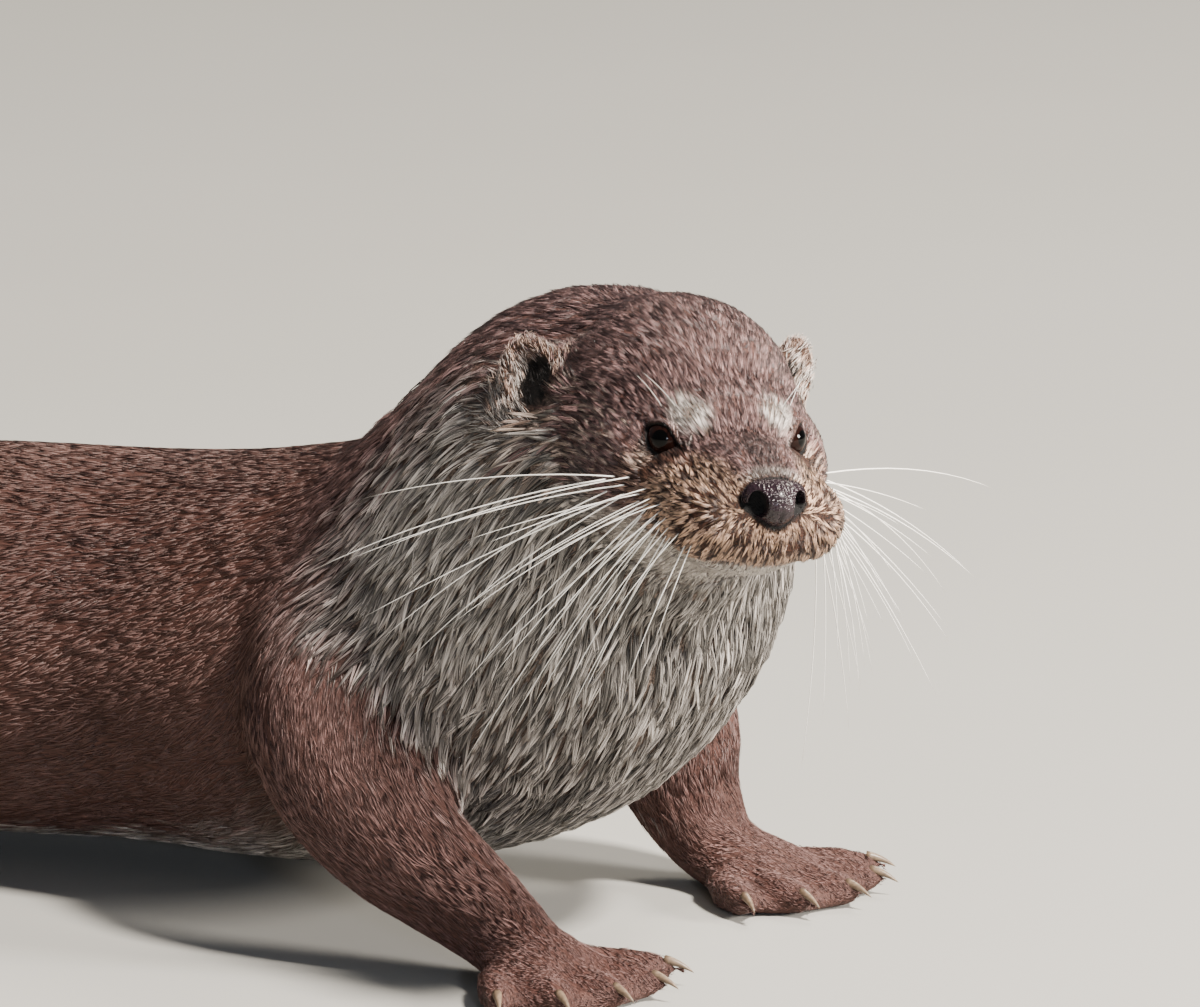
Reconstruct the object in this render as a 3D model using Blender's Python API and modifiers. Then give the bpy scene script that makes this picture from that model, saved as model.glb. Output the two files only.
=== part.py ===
"""Eurasian otter at life size, crouching low on all four feet with its head raised and turned to its right.

The whole body is modelled as one rounded form and then parted by thin cuts into the parts that a person
would name. +X runs along the trunk towards the head, +Y is the otter's left and +Z is up. The origin is on
the floor, below the middle of the whole animal. Lengths are millimetres until they are scaled to metres.
"""

import math

import bmesh
import bpy
from mathutils import Matrix, Vector

MM = 0.001
GAP = 0.3  # the width of every cut between two parts

# Finish of the parts: colour, roughness
COAT_BROWN = ((0.130, 0.082, 0.058), 0.7)
COAT_PALE = ((0.420, 0.370, 0.310), 0.7)
NOSE_SKIN = ((0.060, 0.035, 0.038), 0.3)
EYE_DARK = ((0.020, 0.010, 0.007), 0.08)
PAW_SKIN = ((0.200, 0.140, 0.115), 0.6)

# Where the head is: the point midway between the eyes, and how far the head turns from the trunk's heading
EYES_MIDDLE = Vector((74, -137, 165))
HEAD_TURN = math.radians(-71)
HEAD_DIP = math.radians(1)
HEAD_ROLL = math.radians(-4)

# The trunk and neck, from the root of the tail to the nape: centre, half width, half height
SPINE = (
    ("tail root", (-398, 30, 47), 27, 26),
    ("rump", (-366, 42, 57), 44, 41),
    ("hips", (-320, 55, 62), 59, 53),
    ("loin", (-262, 64, 63), 64, 57),
    ("belly", (-200, 69, 64), 67, 58),
    ("ribs", (-140, 68, 64), 68, 58),
    ("girth", (-88, 56, 64), 69, 58),
    ("withers", (-46, 32, 67), 70, 61),
    ("shoulders", (-4, 4, 77), 69, 64),
    ("neck root", (25, -30, 103), 66, 67),
    ("neck", (42, -60, 136), 58, 61),
    ("nape", (54, -84, 150), 48, 47),
    ("skull", (63, -104, 158), 36, 33),
)

# The tail lies along the floor in a shallow curve: centre, half width, half height
TAIL = (
    ("root", (-372, 41, 56), 36, 34),
    ("first", (-408, 25, 43), 28, 26),
    ("second", (-452, 6, 30), 24, 21),
    ("third", (-505, -14, 20.5), 20.5, 18),
    ("fourth", (-562, -29, 15), 17.5, 15),
    ("fifth", (-622, -35, 11), 14, 12),
    ("sixth", (-682, -30, 8), 10.5, 9),
    ("seventh", (-735, -16, 5.4), 7, 6.2),
    ("tip", (-772, -2, 3.4), 3, 3.4),
)

# Rounded forms of the head, in its own frame: x forwards, y to its left and z up from the middle of the eyes
HEAD_FORMS = (
    ("cranium", (-46, 0, -2), (46, 36, 34)),
    ("forehead", (-18, 0, -1), (32, 28, 18)),
    ("bridge", (15, 0, -5.5), (27, 16, 9)),
    ("stop", (13, 0, -2), (21, 14, 8)),
    ("muzzle", (16, 0, -15), (28, 21, 15)),
    ("lip", (33, 0, -21), (11, 15, 8)),
    ("lower jaw", (8, 0, -27), (26, 17, 9)),
    ("throat", (-32, 0, -24), (42, 32, 21)),
    ("gullet", (-52, 0, -36), (38, 31, 27)),
)
PAIRED_HEAD_FORMS = (
    ("whisker pad", (24, 13, -17), (19, 13.5, 12.5)),
    ("upper cheek", (-4, 16, -14), (26, 13.5, 15)),
    ("cheek", (-24, 18, -12), (32, 19, 21)),
    ("jowl", (-48, 22, -13), (34, 19, 27)),
    ("brow", (-7, 14, 4), (14, 9, 6)),
)

# Dips of the face, on both sides of it: centre, how far it spreads and how deep it is
FACE_DIPS = (
    ("eye hollow", (2.6, 21.6, -0.5), 12, 2.4),
    ("tear line", (8.6, 21.6, -3.5), 9, 1.2),
    ("behind the whisker pad", (6, 24, -14), 12, 1.5),
)
FACE_DIP_WAY = (-0.6, -0.8, 0)
STOP_DIP = ((12, 0, 4), 16, 1.2)
# The line of the mouth: its ends, its width and how deep it is at each end
MOUTH_FRONT = (40, 3, -27)
MOUTH_CORNER = (6, 24, -24)
MOUTH_WIDTH = 4.5
MOUTH_DEPTHS = (0.5, 0.3)
MOUTH_STEPS = 8

EYE_RADIUS = 6.0
EYE_CENTRE = (-1.0, 16.8, -0.5)
EAR_CENTRE = (-56, 38.5, 5.5)
EAR_RADII = (4.6, 9.8, 12.0)  # through its thickness, across and up
EAR_OPENS = math.radians(38)  # how far the ear's opening turns outwards from straight ahead
EAR_BOWL_CENTRE = (4.0, 0, 0.8)
EAR_BOWL_RADII = (4.6, 7.4, 9.2)
NOSE_CENTRE = (40.5, 0, -9.5)
NOSE_RADII = (6.5, 9.8, 6.9)
NOSTRIL_CENTRE = (45.0, 6.9, -9.3)
NOSTRIL_RADII = (3.4, 2.3, 2.9)

# The limbs, down from inside the body: centre and radius of each joint
LEGS = {
    "foreleg_right": (
        ((-24, -30, 84), 40),
        ((-34, -54, 62), 29),
        ((-22, -72, 40), 22),
        ((0, -84, 24), 17),
        ((14, -95, 14), 13),
        ((26, -109, 8), 8),
    ),
    "foreleg_left": (
        ((26, 12, 84), 41),
        ((44, 22, 65), 32),
        ((58, 27, 44), 25),
        ((64, 27, 26), 18),
        ((72, 19, 14), 13),
        ((86, 10, 8), 8),
    ),
    "hindleg_right": (
        ((-318, 36, 66), 36),
        ((-292, 6, 54), 34),
        ((-266, -16, 45), 23),
        ((-288, -29, 28), 17),
        ((-302, -35, 16), 13),
        ((-284, -41, 9), 9),
    ),
    "hindleg_left": (
        ((-318, 76, 66), 36),
        ((-292, 106, 54), 34),
        ((-266, 130, 45), 23),
        ((-288, 143, 28), 17),
        ((-302, 149, 16), 13),
        ((-284, 154, 9), 9),
    ),
}

# Each foot: where its heel or wrist is, where it points, its length to the toes' tips and its width there
FEET = {
    "forefoot_right": ((10, -90), math.radians(-50), 58, 52),
    "forefoot_left": ((68, 22), math.radians(-36), 58, 52),
    "hindfoot_right": ((-308, -35), math.radians(-16), 94, 62),
    "hindfoot_left": ((-308, 149), math.radians(14), 94, 62),
}
# Forms of a foot: the share along it, the height, and the half length and width as shares and half height
FOOT_FORMS = (
    ("heel", 0.3, 9, (0.36, 0.3, 9.5)),
    ("web", 0.58, 4, (0.32, 0.5, 5.5)),
)
TOES = 5
TOE_RADIUS = 5.8
TOE_SHORTER = 0.045  # share by which a toe is shorter than the middle one, times its place squared
TOE_FAN = 0.25  # how far the toes spread, as a share of the foot's width over its length
TOE_ROOTS = (0.5, 0.09)  # where the toes spring from: shares of their length, and of the foot's width
TOE_TIPS_APART = 0.12
TOE_THINNER = 0.06
# Stations along a toe: share of its length, millimetres beyond that, lift, half width and half height
TOE_STATIONS = (
    (0.0, -6.0, 3.0, 1.0, 1.0),
    (0.0, 0.0, 0.0, 1.0, 1.1),
    (0.55, 0.0, 0.6, 0.95, 1.0),
    (1.0, 0.0, 0.0, 0.8, 0.8),
    (1.0, 4.0, 0.0, 0.3, 0.3),
)
CLAW_LENGTH = 8.0
CLAW_RADIUS = 1.6
CLAW_TIP_RADIUS = 0.4
CLAW_SIDES = 6
CLAW_DIP = 0.25  # how steeply a claw points down

VOXEL = 1.8  # grain at which the forms are melted together
# Places on the head and feet that keep their detail, and how far round them
FACE_KEPT = ((14, 0, -10), 36)
SKULL_KEPT = ((-40, 0, -5), 50)
HEEL_KEPT = 26
TOE_KEPT = 20
BODY_SMOOTHING = 60
HEAD_SMOOTHING = 14
LAST_SMOOTHING = 2
# Places on the head that keep their triangles when the surface is thinned out
DENSE_FACE = ((8, 0, -10), 48)
DENSE_SKULL = ((-40, 0, 0), 62)
THINNING = (0.05, 0.02)  # the least weight, and how much the weights count
FLESH_TRIANGLES = 4400
SOLE_LEVEL = 0.9  # the feet and tail are cut flat at this height, which becomes the floor

# Where each leg is parted from the body: a point on the cut, the way out of the body, and the sizes of the
# rounded cutter along the cut, up it and out from it
LIMB_CUTS = {
    "foreleg_right": ((-15, -59, 48), (-0.35, -0.7, -0.62), (130, 120, 90)),
    "foreleg_left": ((50, 28, 50), (0.65, 0.35, -0.68), (130, 100, 90)),
    "hindleg_right": ((-282, 8, 44), (-0.2, -0.9, -0.42), (104, 112, 90)),
    "hindleg_left": ((-282, 106, 44), (-0.2, 0.9, -0.42), (104, 112, 90)),
}
WRIST_HEIGHT = 20  # each foot is parted from its leg at this height
FOOT_MARGIN = 12  # how far a foot's box reaches past it, all round
CUTTER_SIDES = 28

# Cuts across the trunk and tail: the part behind each, a point on it and the way that it faces, to the head
CUTS = (
    ("tail_tip", (-662, -33, 9), (1, -0.1, 0)),
    ("tail_middle", (-520, -18, 19), (1, -0.35, 0)),
    ("tail_base", (-390, 33, 50), (1, -0.4, 0)),
    ("rump", (-286, 60, 64), (1, -0.1, 0)),
    ("trunk", (-72, 48, 68), (0.88, -0.47, 0)),
    ("shoulders", (24, -28, 104), (0.42, -0.42, 0.8)),
    ("neck", (54, -84, 150), (0.3, -0.78, 0.24)),
)


def clear_scene():
    for obj in list(bpy.data.objects):
        bpy.data.objects.remove(obj, do_unlink=True)


def finish(name, colour, roughness):
    material = bpy.data.materials.new(name)
    material.use_nodes = True
    shader = material.node_tree.nodes["Principled BSDF"]
    shader.inputs["Base Color"].default_value = (*colour, 1)
    shader.inputs["Roughness"].default_value = roughness
    shader.inputs["Metallic"].default_value = 0.0
    return material


def new_object(name, bm, collection):
    mesh = bpy.data.meshes.new(name)
    bm.to_mesh(mesh)
    bm.free()
    obj = bpy.data.objects.new(name, mesh)
    collection.objects.link(obj)
    return obj


def applied(obj):
    """Gives obj the mesh that its modifiers make, and removes them."""
    graph = bpy.context.evaluated_depsgraph_get()
    made = bpy.data.meshes.new_from_object(obj.evaluated_get(graph))
    obj.modifiers.clear()
    obj.data = made
    return obj


def head_frame():
    turn = Matrix.Rotation(HEAD_TURN, 4, "Z") @ Matrix.Rotation(HEAD_DIP, 4, "Y")
    return Matrix.Translation(EYES_MIDDLE) @ turn @ Matrix.Rotation(HEAD_ROLL, 4, "X")


def add_ball(bm, centre, radii, frame=Matrix.Identity(4), detail=24):
    """A rounded form: a sphere stretched along the axes of its frame."""
    place = frame @ Matrix.Translation(centre) @ Matrix.Diagonal((*radii, 1))
    bmesh.ops.create_uvsphere(
        bm, u_segments=detail, v_segments=detail // 2, radius=1, matrix=place
    )


def between(a, b, c, d, t):
    """The value at t from b to c on a smooth curve that passes through a, b, c and d."""
    return 0.5 * (
        2 * b
        + (c - a) * t
        + (2 * a - 5 * b + 4 * c - d) * t * t
        + (3 * b - a - 3 * c + d) * t**3
    )


def smooth_stations(stations, steps=4):
    """More stations, on a smooth curve through the given centres, half widths and half heights."""
    rows = [Vector((*centre, wide, high)) for centre, wide, high in stations]
    rows = [rows[0], *rows, rows[-1]]
    made = []
    for i in range(1, len(rows) - 2):
        for step in range(steps):
            made.append(between(*rows[i - 1 : i + 3], step / steps))
    return [*made, rows[-1]]


def add_loft(bm, stations, sides=32):
    """A closed skin through upright ellipses along a curve."""
    rows = smooth_stations(stations)
    centres = [Vector(row[:3]) for row in rows]
    rings = []
    for i, row in enumerate(rows):
        ahead = centres[min(i + 1, len(rows) - 1)] - centres[max(i - 1, 0)]
        ahead.normalize()
        side = ahead.cross(Vector((0, 0, 1))).normalized()
        top = side.cross(ahead)
        axes = Matrix((side * row[3], top * row[4], ahead)).transposed()
        place = Matrix.Translation(centres[i]) @ axes.to_4x4()
        ring = bmesh.ops.create_circle(bm, segments=sides, radius=1, matrix=place)
        edges = {edge for vert in ring["verts"] for edge in vert.link_edges}
        if rings:
            bmesh.ops.bridge_loops(bm, edges=[*rings[-1], *edges])
        rings.append(list(edges))
    bmesh.ops.holes_fill(bm, edges=rings[0] + rings[-1], sides=sides)


def add_leg(bm, joints):
    add_loft(bm, [(centre, radius, radius) for centre, radius in joints], sides=20)


def toe_rays(foot):
    """For each toe: its root, its tip and how thick it is beside the middle toe."""
    (x, y), heading, length, width = FEET[foot]
    wrist = Vector((x, y, TOE_RADIUS))
    side = Vector((-math.sin(heading), math.cos(heading), 0))
    rays = []
    for toe in range(TOES):
        across = toe - (TOES - 1) / 2
        reach = length * (1 - TOE_SHORTER * across * across)
        turn = heading + across * TOE_FAN * width / length
        ahead = Vector((math.cos(turn), math.sin(turn), 0))
        root = wrist + ahead * reach * TOE_ROOTS[0] + side * across * width * TOE_ROOTS[1]
        tip = wrist + ahead * (reach - TOE_RADIUS) + side * across * width * TOE_TIPS_APART
        rays.append((root, tip, 1 - TOE_THINNER * abs(across)))
    return rays


def add_foot(bm, foot):
    """A broad webbed foot with five short toes, flat underneath."""
    (x, y), heading, length, width = FEET[foot]
    frame = Matrix.Translation((x, y, 0)) @ Matrix.Rotation(heading, 4, "Z")
    for _, along, height, (half_length, half_width, half_height) in FOOT_FORMS:
        radii = (length * half_length, width * half_width, half_height)
        add_ball(bm, (length * along, 0, height), radii, frame)
    for root, tip, scale in toe_rays(foot):
        ahead = (tip - root).normalized()
        radius = TOE_RADIUS * scale
        toe = []
        for along, beyond, lift, wide, high in TOE_STATIONS:
            centre = root.lerp(tip, along) + ahead * beyond + Vector((0, 0, lift))
            toe.append((centre, radius * wide, radius * high))
        add_loft(bm, toe, sides=12)


def near(points, reach, least):
    """A weight for each vertex: least within reach of any of these points, and 1 well away from them all."""

    def weight(co):
        close = min((co - point).length / size for point, size in zip(points, reach))
        return least + (1 - least) * min(1.0, max(0.0, (close - 0.8) / 0.4))

    return weight


def weight_vertices(obj, name, weight):
    group = obj.vertex_groups.new(name=name)
    for vert in obj.data.vertices:
        group.add([vert.index], weight(vert.co), "REPLACE")


def press(obj, centre, radius, push):
    """Moves the surface near a point by push, fading out at radius."""
    for vert in obj.data.vertices:
        share = (vert.co - centre).length / radius
        if share < 1:
            vert.co += push * (1 - share * share) ** 2


def shape_face(obj):
    """The dips of the face: the eye hollows, the line of the mouth and the hollow above the nose."""
    frame = head_frame()
    turn = frame.to_3x3()
    for side in (1, -1):
        inwards = turn @ mirrored(FACE_DIP_WAY, side)
        for _, centre, reach, depth in FACE_DIPS:
            press(obj, frame @ mirrored(centre, side), reach, inwards * depth)
        front = mirrored(MOUTH_FRONT, side)
        corner = mirrored(MOUTH_CORNER, side)
        for step in range(MOUTH_STEPS + 1):
            along = step / MOUTH_STEPS
            depth = MOUTH_DEPTHS[0] + (MOUTH_DEPTHS[1] - MOUTH_DEPTHS[0]) * along
            press(obj, frame @ front.lerp(corner, along), MOUTH_WIDTH, inwards * depth)
    centre, reach, depth = STOP_DIP
    press(obj, frame @ Vector(centre), reach, turn @ Vector((0, 0, -depth)))


def smooth(obj, name, times, group):
    """Evens out the vertices in a vertex group, or all of them where it is empty."""
    change = obj.modifiers.new(name, "SMOOTH")
    change.factor = 0.5
    change.iterations = times
    change.vertex_group = group


def make_flesh(collection):
    """The whole body as one surface: every form melted together and smoothed, least on the face and feet."""
    bm = bmesh.new()
    add_loft(bm, [row[1:] for row in SPINE])
    add_loft(bm, [row[1:] for row in TAIL])
    frame = head_frame()
    for _, centre, radii in HEAD_FORMS:
        add_ball(bm, centre, radii, frame)
    for _, (x, y, z), radii in PAIRED_HEAD_FORMS:
        add_ball(bm, (x, y, z), radii, frame)
        add_ball(bm, (x, -y, z), radii, frame)
    for joints in LEGS.values():
        add_leg(bm, joints)
    for foot in FEET:
        add_foot(bm, foot)
    bmesh.ops.recalc_face_normals(bm, faces=bm.faces)
    flesh = new_object("flesh", bm, collection)

    melt = flesh.modifiers.new("melt", "REMESH")
    melt.mode = "VOXEL"
    melt.voxel_size = VOXEL
    applied(flesh)

    face = frame @ Vector(FACE_KEPT[0])
    skull = frame @ Vector(SKULL_KEPT[0])
    heels = [Vector((*FEET[foot][0], TOE_RADIUS)) for foot in FEET]
    toes = [ray[1] for foot in FEET for ray in toe_rays(foot)]
    reach = [FACE_KEPT[1], SKULL_KEPT[1], *[HEEL_KEPT] * len(heels), *[TOE_KEPT] * len(toes)]
    weight_vertices(flesh, "soft", near([face, skull, *heels, *toes], reach, 0.0))
    smooth(flesh, "blend", BODY_SMOOTHING, "soft")
    beyond = near([face, skull], [FACE_KEPT[1] + 10, SKULL_KEPT[1] + 16], 0.0)
    weight_vertices(flesh, "head", lambda co: 1 - beyond(co))
    smooth(flesh, "soften", HEAD_SMOOTHING, "head")
    smooth(flesh, "even", LAST_SMOOTHING, "")
    applied(flesh)
    shape_face(flesh)
    return flesh


def thin_out(flesh):
    """Fewer triangles, most of them on the head."""
    frame = head_frame()
    spots = [frame @ Vector(DENSE_FACE[0]), frame @ Vector(DENSE_SKULL[0])]
    weight_vertices(flesh, "plain", near(spots, [DENSE_FACE[1], DENSE_SKULL[1]], THINNING[0]))
    thin = flesh.modifiers.new("thin", "DECIMATE")
    flesh.data.calc_loop_triangles()
    thin.ratio = FLESH_TRIANGLES / len(flesh.data.loop_triangles)
    thin.use_collapse_triangulate = True
    thin.vertex_group = "plain"
    thin.vertex_group_factor = THINNING[1]
    applied(flesh)
    flesh.vertex_groups.clear()


def sliced(obj, name, point, facing, keep_front, gap=GAP):
    """A copy of the part of obj on one side of a plane, closed where it was cut."""
    facing = Vector(facing).normalized()
    towards = 1 if keep_front else -1
    bm = bmesh.new()
    bm.from_mesh(obj.data)
    bmesh.ops.bisect_plane(
        bm,
        geom=[*bm.verts, *bm.edges, *bm.faces],
        dist=1e-6,
        plane_co=Vector(point) + facing * towards * gap / 2,
        plane_no=facing,
        clear_inner=keep_front,
        clear_outer=not keep_front,
    )
    rim = [edge for edge in bm.edges if edge.is_boundary]
    bmesh.ops.holes_fill(bm, edges=rim, sides=0)
    return new_object(name, bm, obj.users_collection[0])


def combine(obj, other, operation):
    change = obj.modifiers.new("change", "BOOLEAN")
    change.operation = operation
    change.object = other
    change.solver = "EXACT"
    return applied(obj)


def copy_of(obj, name, collection):
    copy = bpy.data.objects.new(name, obj.data.copy())
    collection.objects.link(copy)
    return copy


def make_cutter(name, point, outwards, along, sizes, rounded, grow, collection):
    """A box or drum with the middle of its inner face on a cut, sized along the cut, up it and outwards."""
    outwards = Vector(outwards).normalized()
    along = Vector(along).normalized()
    up = outwards.cross(along)
    long, tall, deep = (size + 2 * grow for size in sizes)
    axes = Matrix((along * long, up * tall, outwards * deep)).transposed()
    centre = Vector(point) + outwards * (GAP / 2 + sizes[2] / 2)
    place = Matrix.Translation(centre) @ axes.to_4x4()
    bm = bmesh.new()
    if rounded:
        bmesh.ops.create_cone(
            bm, cap_ends=True, segments=CUTTER_SIDES, radius1=0.5, radius2=0.5, depth=1, matrix=place
        )
    else:
        bmesh.ops.create_cube(bm, size=1, matrix=place)
    return new_object(name + "_cutter", bm, collection)


def take_off(name, flesh, cut, otter, helpers):
    """Takes what a cutter holds off the body, as a part of its own."""
    part = combine(copy_of(flesh, name, otter), make_cutter(name, *cut, 0, helpers), "INTERSECT")
    combine(flesh, make_cutter(name, *cut, GAP, helpers), "DIFFERENCE")
    return part


def part_limbs(flesh, otter, helpers):
    """Takes each foot off the body, and then the leg above it."""
    down = Vector((0, 0, -1))
    for leg, foot in zip(LEGS, FEET):
        (x, y), heading, length, width = FEET[foot]
        ahead = Vector((math.cos(heading), math.sin(heading), 0))
        middle = Vector((x, y, WRIST_HEIGHT)) + ahead * length / 2
        sizes = (length + 2 * FOOT_MARGIN, width + 2 * FOOT_MARGIN, 2 * WRIST_HEIGHT)
        paw = take_off(foot, flesh, (middle, down, ahead, sizes, False), otter, helpers)
        add_claws(paw, foot, helpers)
        point, outwards, sizes = LIMB_CUTS[leg]
        along = Vector(outwards).cross(down)
        take_off(leg, flesh, (point, outwards, along, sizes, True), otter, helpers)


def add_claws(obj, foot, helpers):
    """A short claw at the end of each toe, joined to the foot."""
    bm = bmesh.new()
    for root, tip, _ in toe_rays(foot):
        ahead = ((tip - root).normalized() - Vector((0, 0, CLAW_DIP))).normalized()
        middle = tip + ahead * CLAW_LENGTH * 0.4 + Vector((0, 0, 1))
        place = Matrix.Translation(middle) @ ahead.to_track_quat("Z", "Y").to_matrix().to_4x4()
        bmesh.ops.create_cone(
            bm,
            cap_ends=True,
            segments=CLAW_SIDES,
            radius1=CLAW_RADIUS,
            radius2=CLAW_TIP_RADIUS,
            depth=CLAW_LENGTH,
            matrix=place,
        )
    combine(obj, new_object(foot + "_claws", bm, helpers), "UNION")


def part_trunk(flesh):
    """Parts what is left of the body into tail, rump, trunk, shoulders, neck and head."""
    for name, point, facing in CUTS:
        sliced(flesh, name, point, facing, False)
        rest = sliced(flesh, "rest", point, facing, True)
        bpy.data.objects.remove(flesh)
        flesh = rest
    flesh.name = "head"
    return flesh


def ball(name, centre, radii, frame, collection, detail=24):
    bm = bmesh.new()
    add_ball(bm, centre, radii, frame, detail)
    return new_object(name, bm, collection)


def mirrored(point, side):
    return Vector((point[0], side * point[1], point[2]))


def make_ear(name, side, surround, otter, helpers):
    """A small round ear with an open bowl, standing on the surface of the head."""
    frame = head_frame() @ Matrix.Translation(mirrored(EAR_CENTRE, side))
    frame @= Matrix.Rotation(side * EAR_OPENS, 4, "Z")
    ear = ball(name, (0, 0, 0), EAR_RADII, frame, otter, 14)
    bowl = ball(name + "_bowl", EAR_BOWL_CENTRE, EAR_BOWL_RADII, frame, helpers, 12)
    combine(ear, bowl, "DIFFERENCE")
    combine(ear, surround, "DIFFERENCE")


def make_nose(surround, otter, helpers):
    """The bare pad at the end of the muzzle, with two nostrils."""
    frame = head_frame()
    nose = ball("nose", NOSE_CENTRE, NOSE_RADII, frame, otter, 16)
    for side in (1, -1):
        centre = mirrored(NOSTRIL_CENTRE, side)
        combine(nose, ball("nostril", centre, NOSTRIL_RADII, frame, helpers, 8), "DIFFERENCE")
    combine(nose, surround, "DIFFERENCE")


def make_eye(name, side, head, otter, helpers):
    """An eyeball in a socket that is cut in the head."""
    frame = head_frame()
    centre = mirrored(EYE_CENTRE, side)
    ball(name, centre, [EYE_RADIUS] * 3, frame, otter, 14)
    socket = ball(name + "_socket", centre, [EYE_RADIUS + GAP] * 3, frame, helpers, 16)
    combine(head, socket, "DIFFERENCE")


def grown(obj, name, by, collection):
    """A copy of obj with its surface moved out along its normals."""
    copy = copy_of(obj, name, collection)
    for vert, normal in zip(copy.data.vertices, [v.vector.copy() for v in copy.data.vertex_normals]):
        vert.co += normal * by
    return copy


def set_on_floor(parts):
    """Moves the parts so that the origin is on the floor below the middle, and scales them to metres."""
    points = [vert.co for part in parts for vert in part.data.vertices]
    low = Vector(min(point[axis] for point in points) for axis in range(3))
    high = Vector(max(point[axis] for point in points) for axis in range(3))
    shift = Vector(((low.x + high.x) / 2, (low.y + high.y) / 2, low.z))
    for part in parts:
        part.data.transform(Matrix.Scale(MM, 4) @ Matrix.Translation(-shift))


def main():
    clear_scene()
    otter = bpy.data.collections.new("otter")
    helpers = bpy.data.collections.new("cutters")
    for collection in (otter, helpers):
        bpy.context.scene.collection.children.link(collection)
    whole = make_flesh(otter)
    thin_out(whole)
    flesh = sliced(whole, "flesh", (0, 0, SOLE_LEVEL), (0, 0, 1), True, gap=0)
    bpy.data.objects.remove(whole)
    surround = grown(flesh, "surround", GAP, helpers)
    part_limbs(flesh, otter, helpers)
    head = part_trunk(flesh)
    for name, side in (("left", 1), ("right", -1)):
        make_ear("ear_" + name, side, surround, otter, helpers)
        make_eye("eye_" + name, side, head, otter, helpers)
    make_nose(surround, otter, helpers)

    for cutter in helpers.objects:
        cutter.hide_render = True
        cutter.display_type = "WIRE"
    brown = finish("brown coat", *COAT_BROWN)
    own = {
        "nose": finish("nose skin", *NOSE_SKIN),
        "eye": finish("dark eye", *EYE_DARK),
        "neck": finish("pale coat", *COAT_PALE),
        "forefoot": finish("foot skin", *PAW_SKIN),
    }
    own["hindfoot"] = own["forefoot"]
    for part in otter.objects:
        part.data.materials.clear()
        part.data.materials.append(own.get(part.name.split("_")[0], brown))
        part.data.shade_smooth()
        part.data.set_sharp_from_angle(angle=math.radians(50))
    set_on_floor(list(otter.objects))


main()
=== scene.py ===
"""Looks of a life-size Eurasian otter: skin, coat, eyes, nose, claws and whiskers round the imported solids.

Lengths are millimetres in the body's own axes, in which the animal was laid out, and are turned into metres
in the row's frame when a mesh is made. The body's axes are the row's, with another origin. The head has axes
of its own, from the point midway between its eyes: x ahead, y to its left and z up. Its two sides are alike,
so its features are given on its left, and points on its right are mirrored there.
"""

import math

import bmesh
import bpy
import numpy as np
from mathutils import Matrix, Vector
from mathutils.bvhtree import BVHTree


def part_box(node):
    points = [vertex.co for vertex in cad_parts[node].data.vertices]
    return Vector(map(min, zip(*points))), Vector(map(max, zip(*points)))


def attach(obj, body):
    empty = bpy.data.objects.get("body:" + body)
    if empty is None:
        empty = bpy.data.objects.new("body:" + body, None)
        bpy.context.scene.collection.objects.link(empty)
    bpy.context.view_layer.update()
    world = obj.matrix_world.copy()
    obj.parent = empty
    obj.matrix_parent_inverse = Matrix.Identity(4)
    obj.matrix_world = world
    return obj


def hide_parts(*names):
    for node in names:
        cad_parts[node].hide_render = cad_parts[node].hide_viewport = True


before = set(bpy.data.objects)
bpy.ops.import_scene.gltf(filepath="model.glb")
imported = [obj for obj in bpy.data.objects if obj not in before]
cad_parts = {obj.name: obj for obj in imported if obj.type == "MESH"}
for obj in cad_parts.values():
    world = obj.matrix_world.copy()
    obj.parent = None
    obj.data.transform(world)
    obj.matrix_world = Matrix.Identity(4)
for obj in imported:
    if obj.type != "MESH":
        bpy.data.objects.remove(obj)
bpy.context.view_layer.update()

MM = 0.001
SEED = 11

# The head: the point midway between the eyes, and how it turns, dips and rolls
EYES_MIDDLE = Vector((74, -137, 165))
HEAD_TURN = math.radians(-71)
HEAD_DIP = math.radians(1)
HEAD_ROLL = math.radians(-4)
EYE_RADIUS = 6.0
EYE_CENTRE = np.array((-1.0, 16.8, -0.5))
EAR_CENTRE = np.array((-56, 38.5, 5.5))
EAR_OPENS = math.radians(38)
EAR_SIZE = (5, 10, 12)  # half its thickness, width and height
EAR_BOWL = (7.4, 9.2)  # half width and half height

# Places on the head: the middle of each and its half sizes
NOSE = ((41, 0, -9.5), (8, 10.0, 7.2))
WHISKER_PAD = ((25, 13, -16), (22, 14, 12.5))
LIP = ((35, 0, -21), (13, 15, 9))
UNDER_EYE = ((6, 22, -10), (15, 9, 8))
# Over each eye, a pale patch on the brow is painted sheen, the glare of wet fur
BROW_SHEEN = ((6, 12.5, 6.5), (7.5, 5.2, 4.4))
CHEEK = ((-30, 36, -6), (28, 16, 17))
FACE_MIDDLE = (5, 0, -8)
MUZZLE_END = (40, 0, -10)
MUZZLE = (20, 0, -10)

FLESH = (
    "head ear_left ear_right neck shoulders trunk rump tail_base tail_middle tail_tip foreleg_left "
    "foreleg_right forefoot_left forefoot_right hindleg_left hindleg_right hindfoot_left hindfoot_right"
).split()

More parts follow.
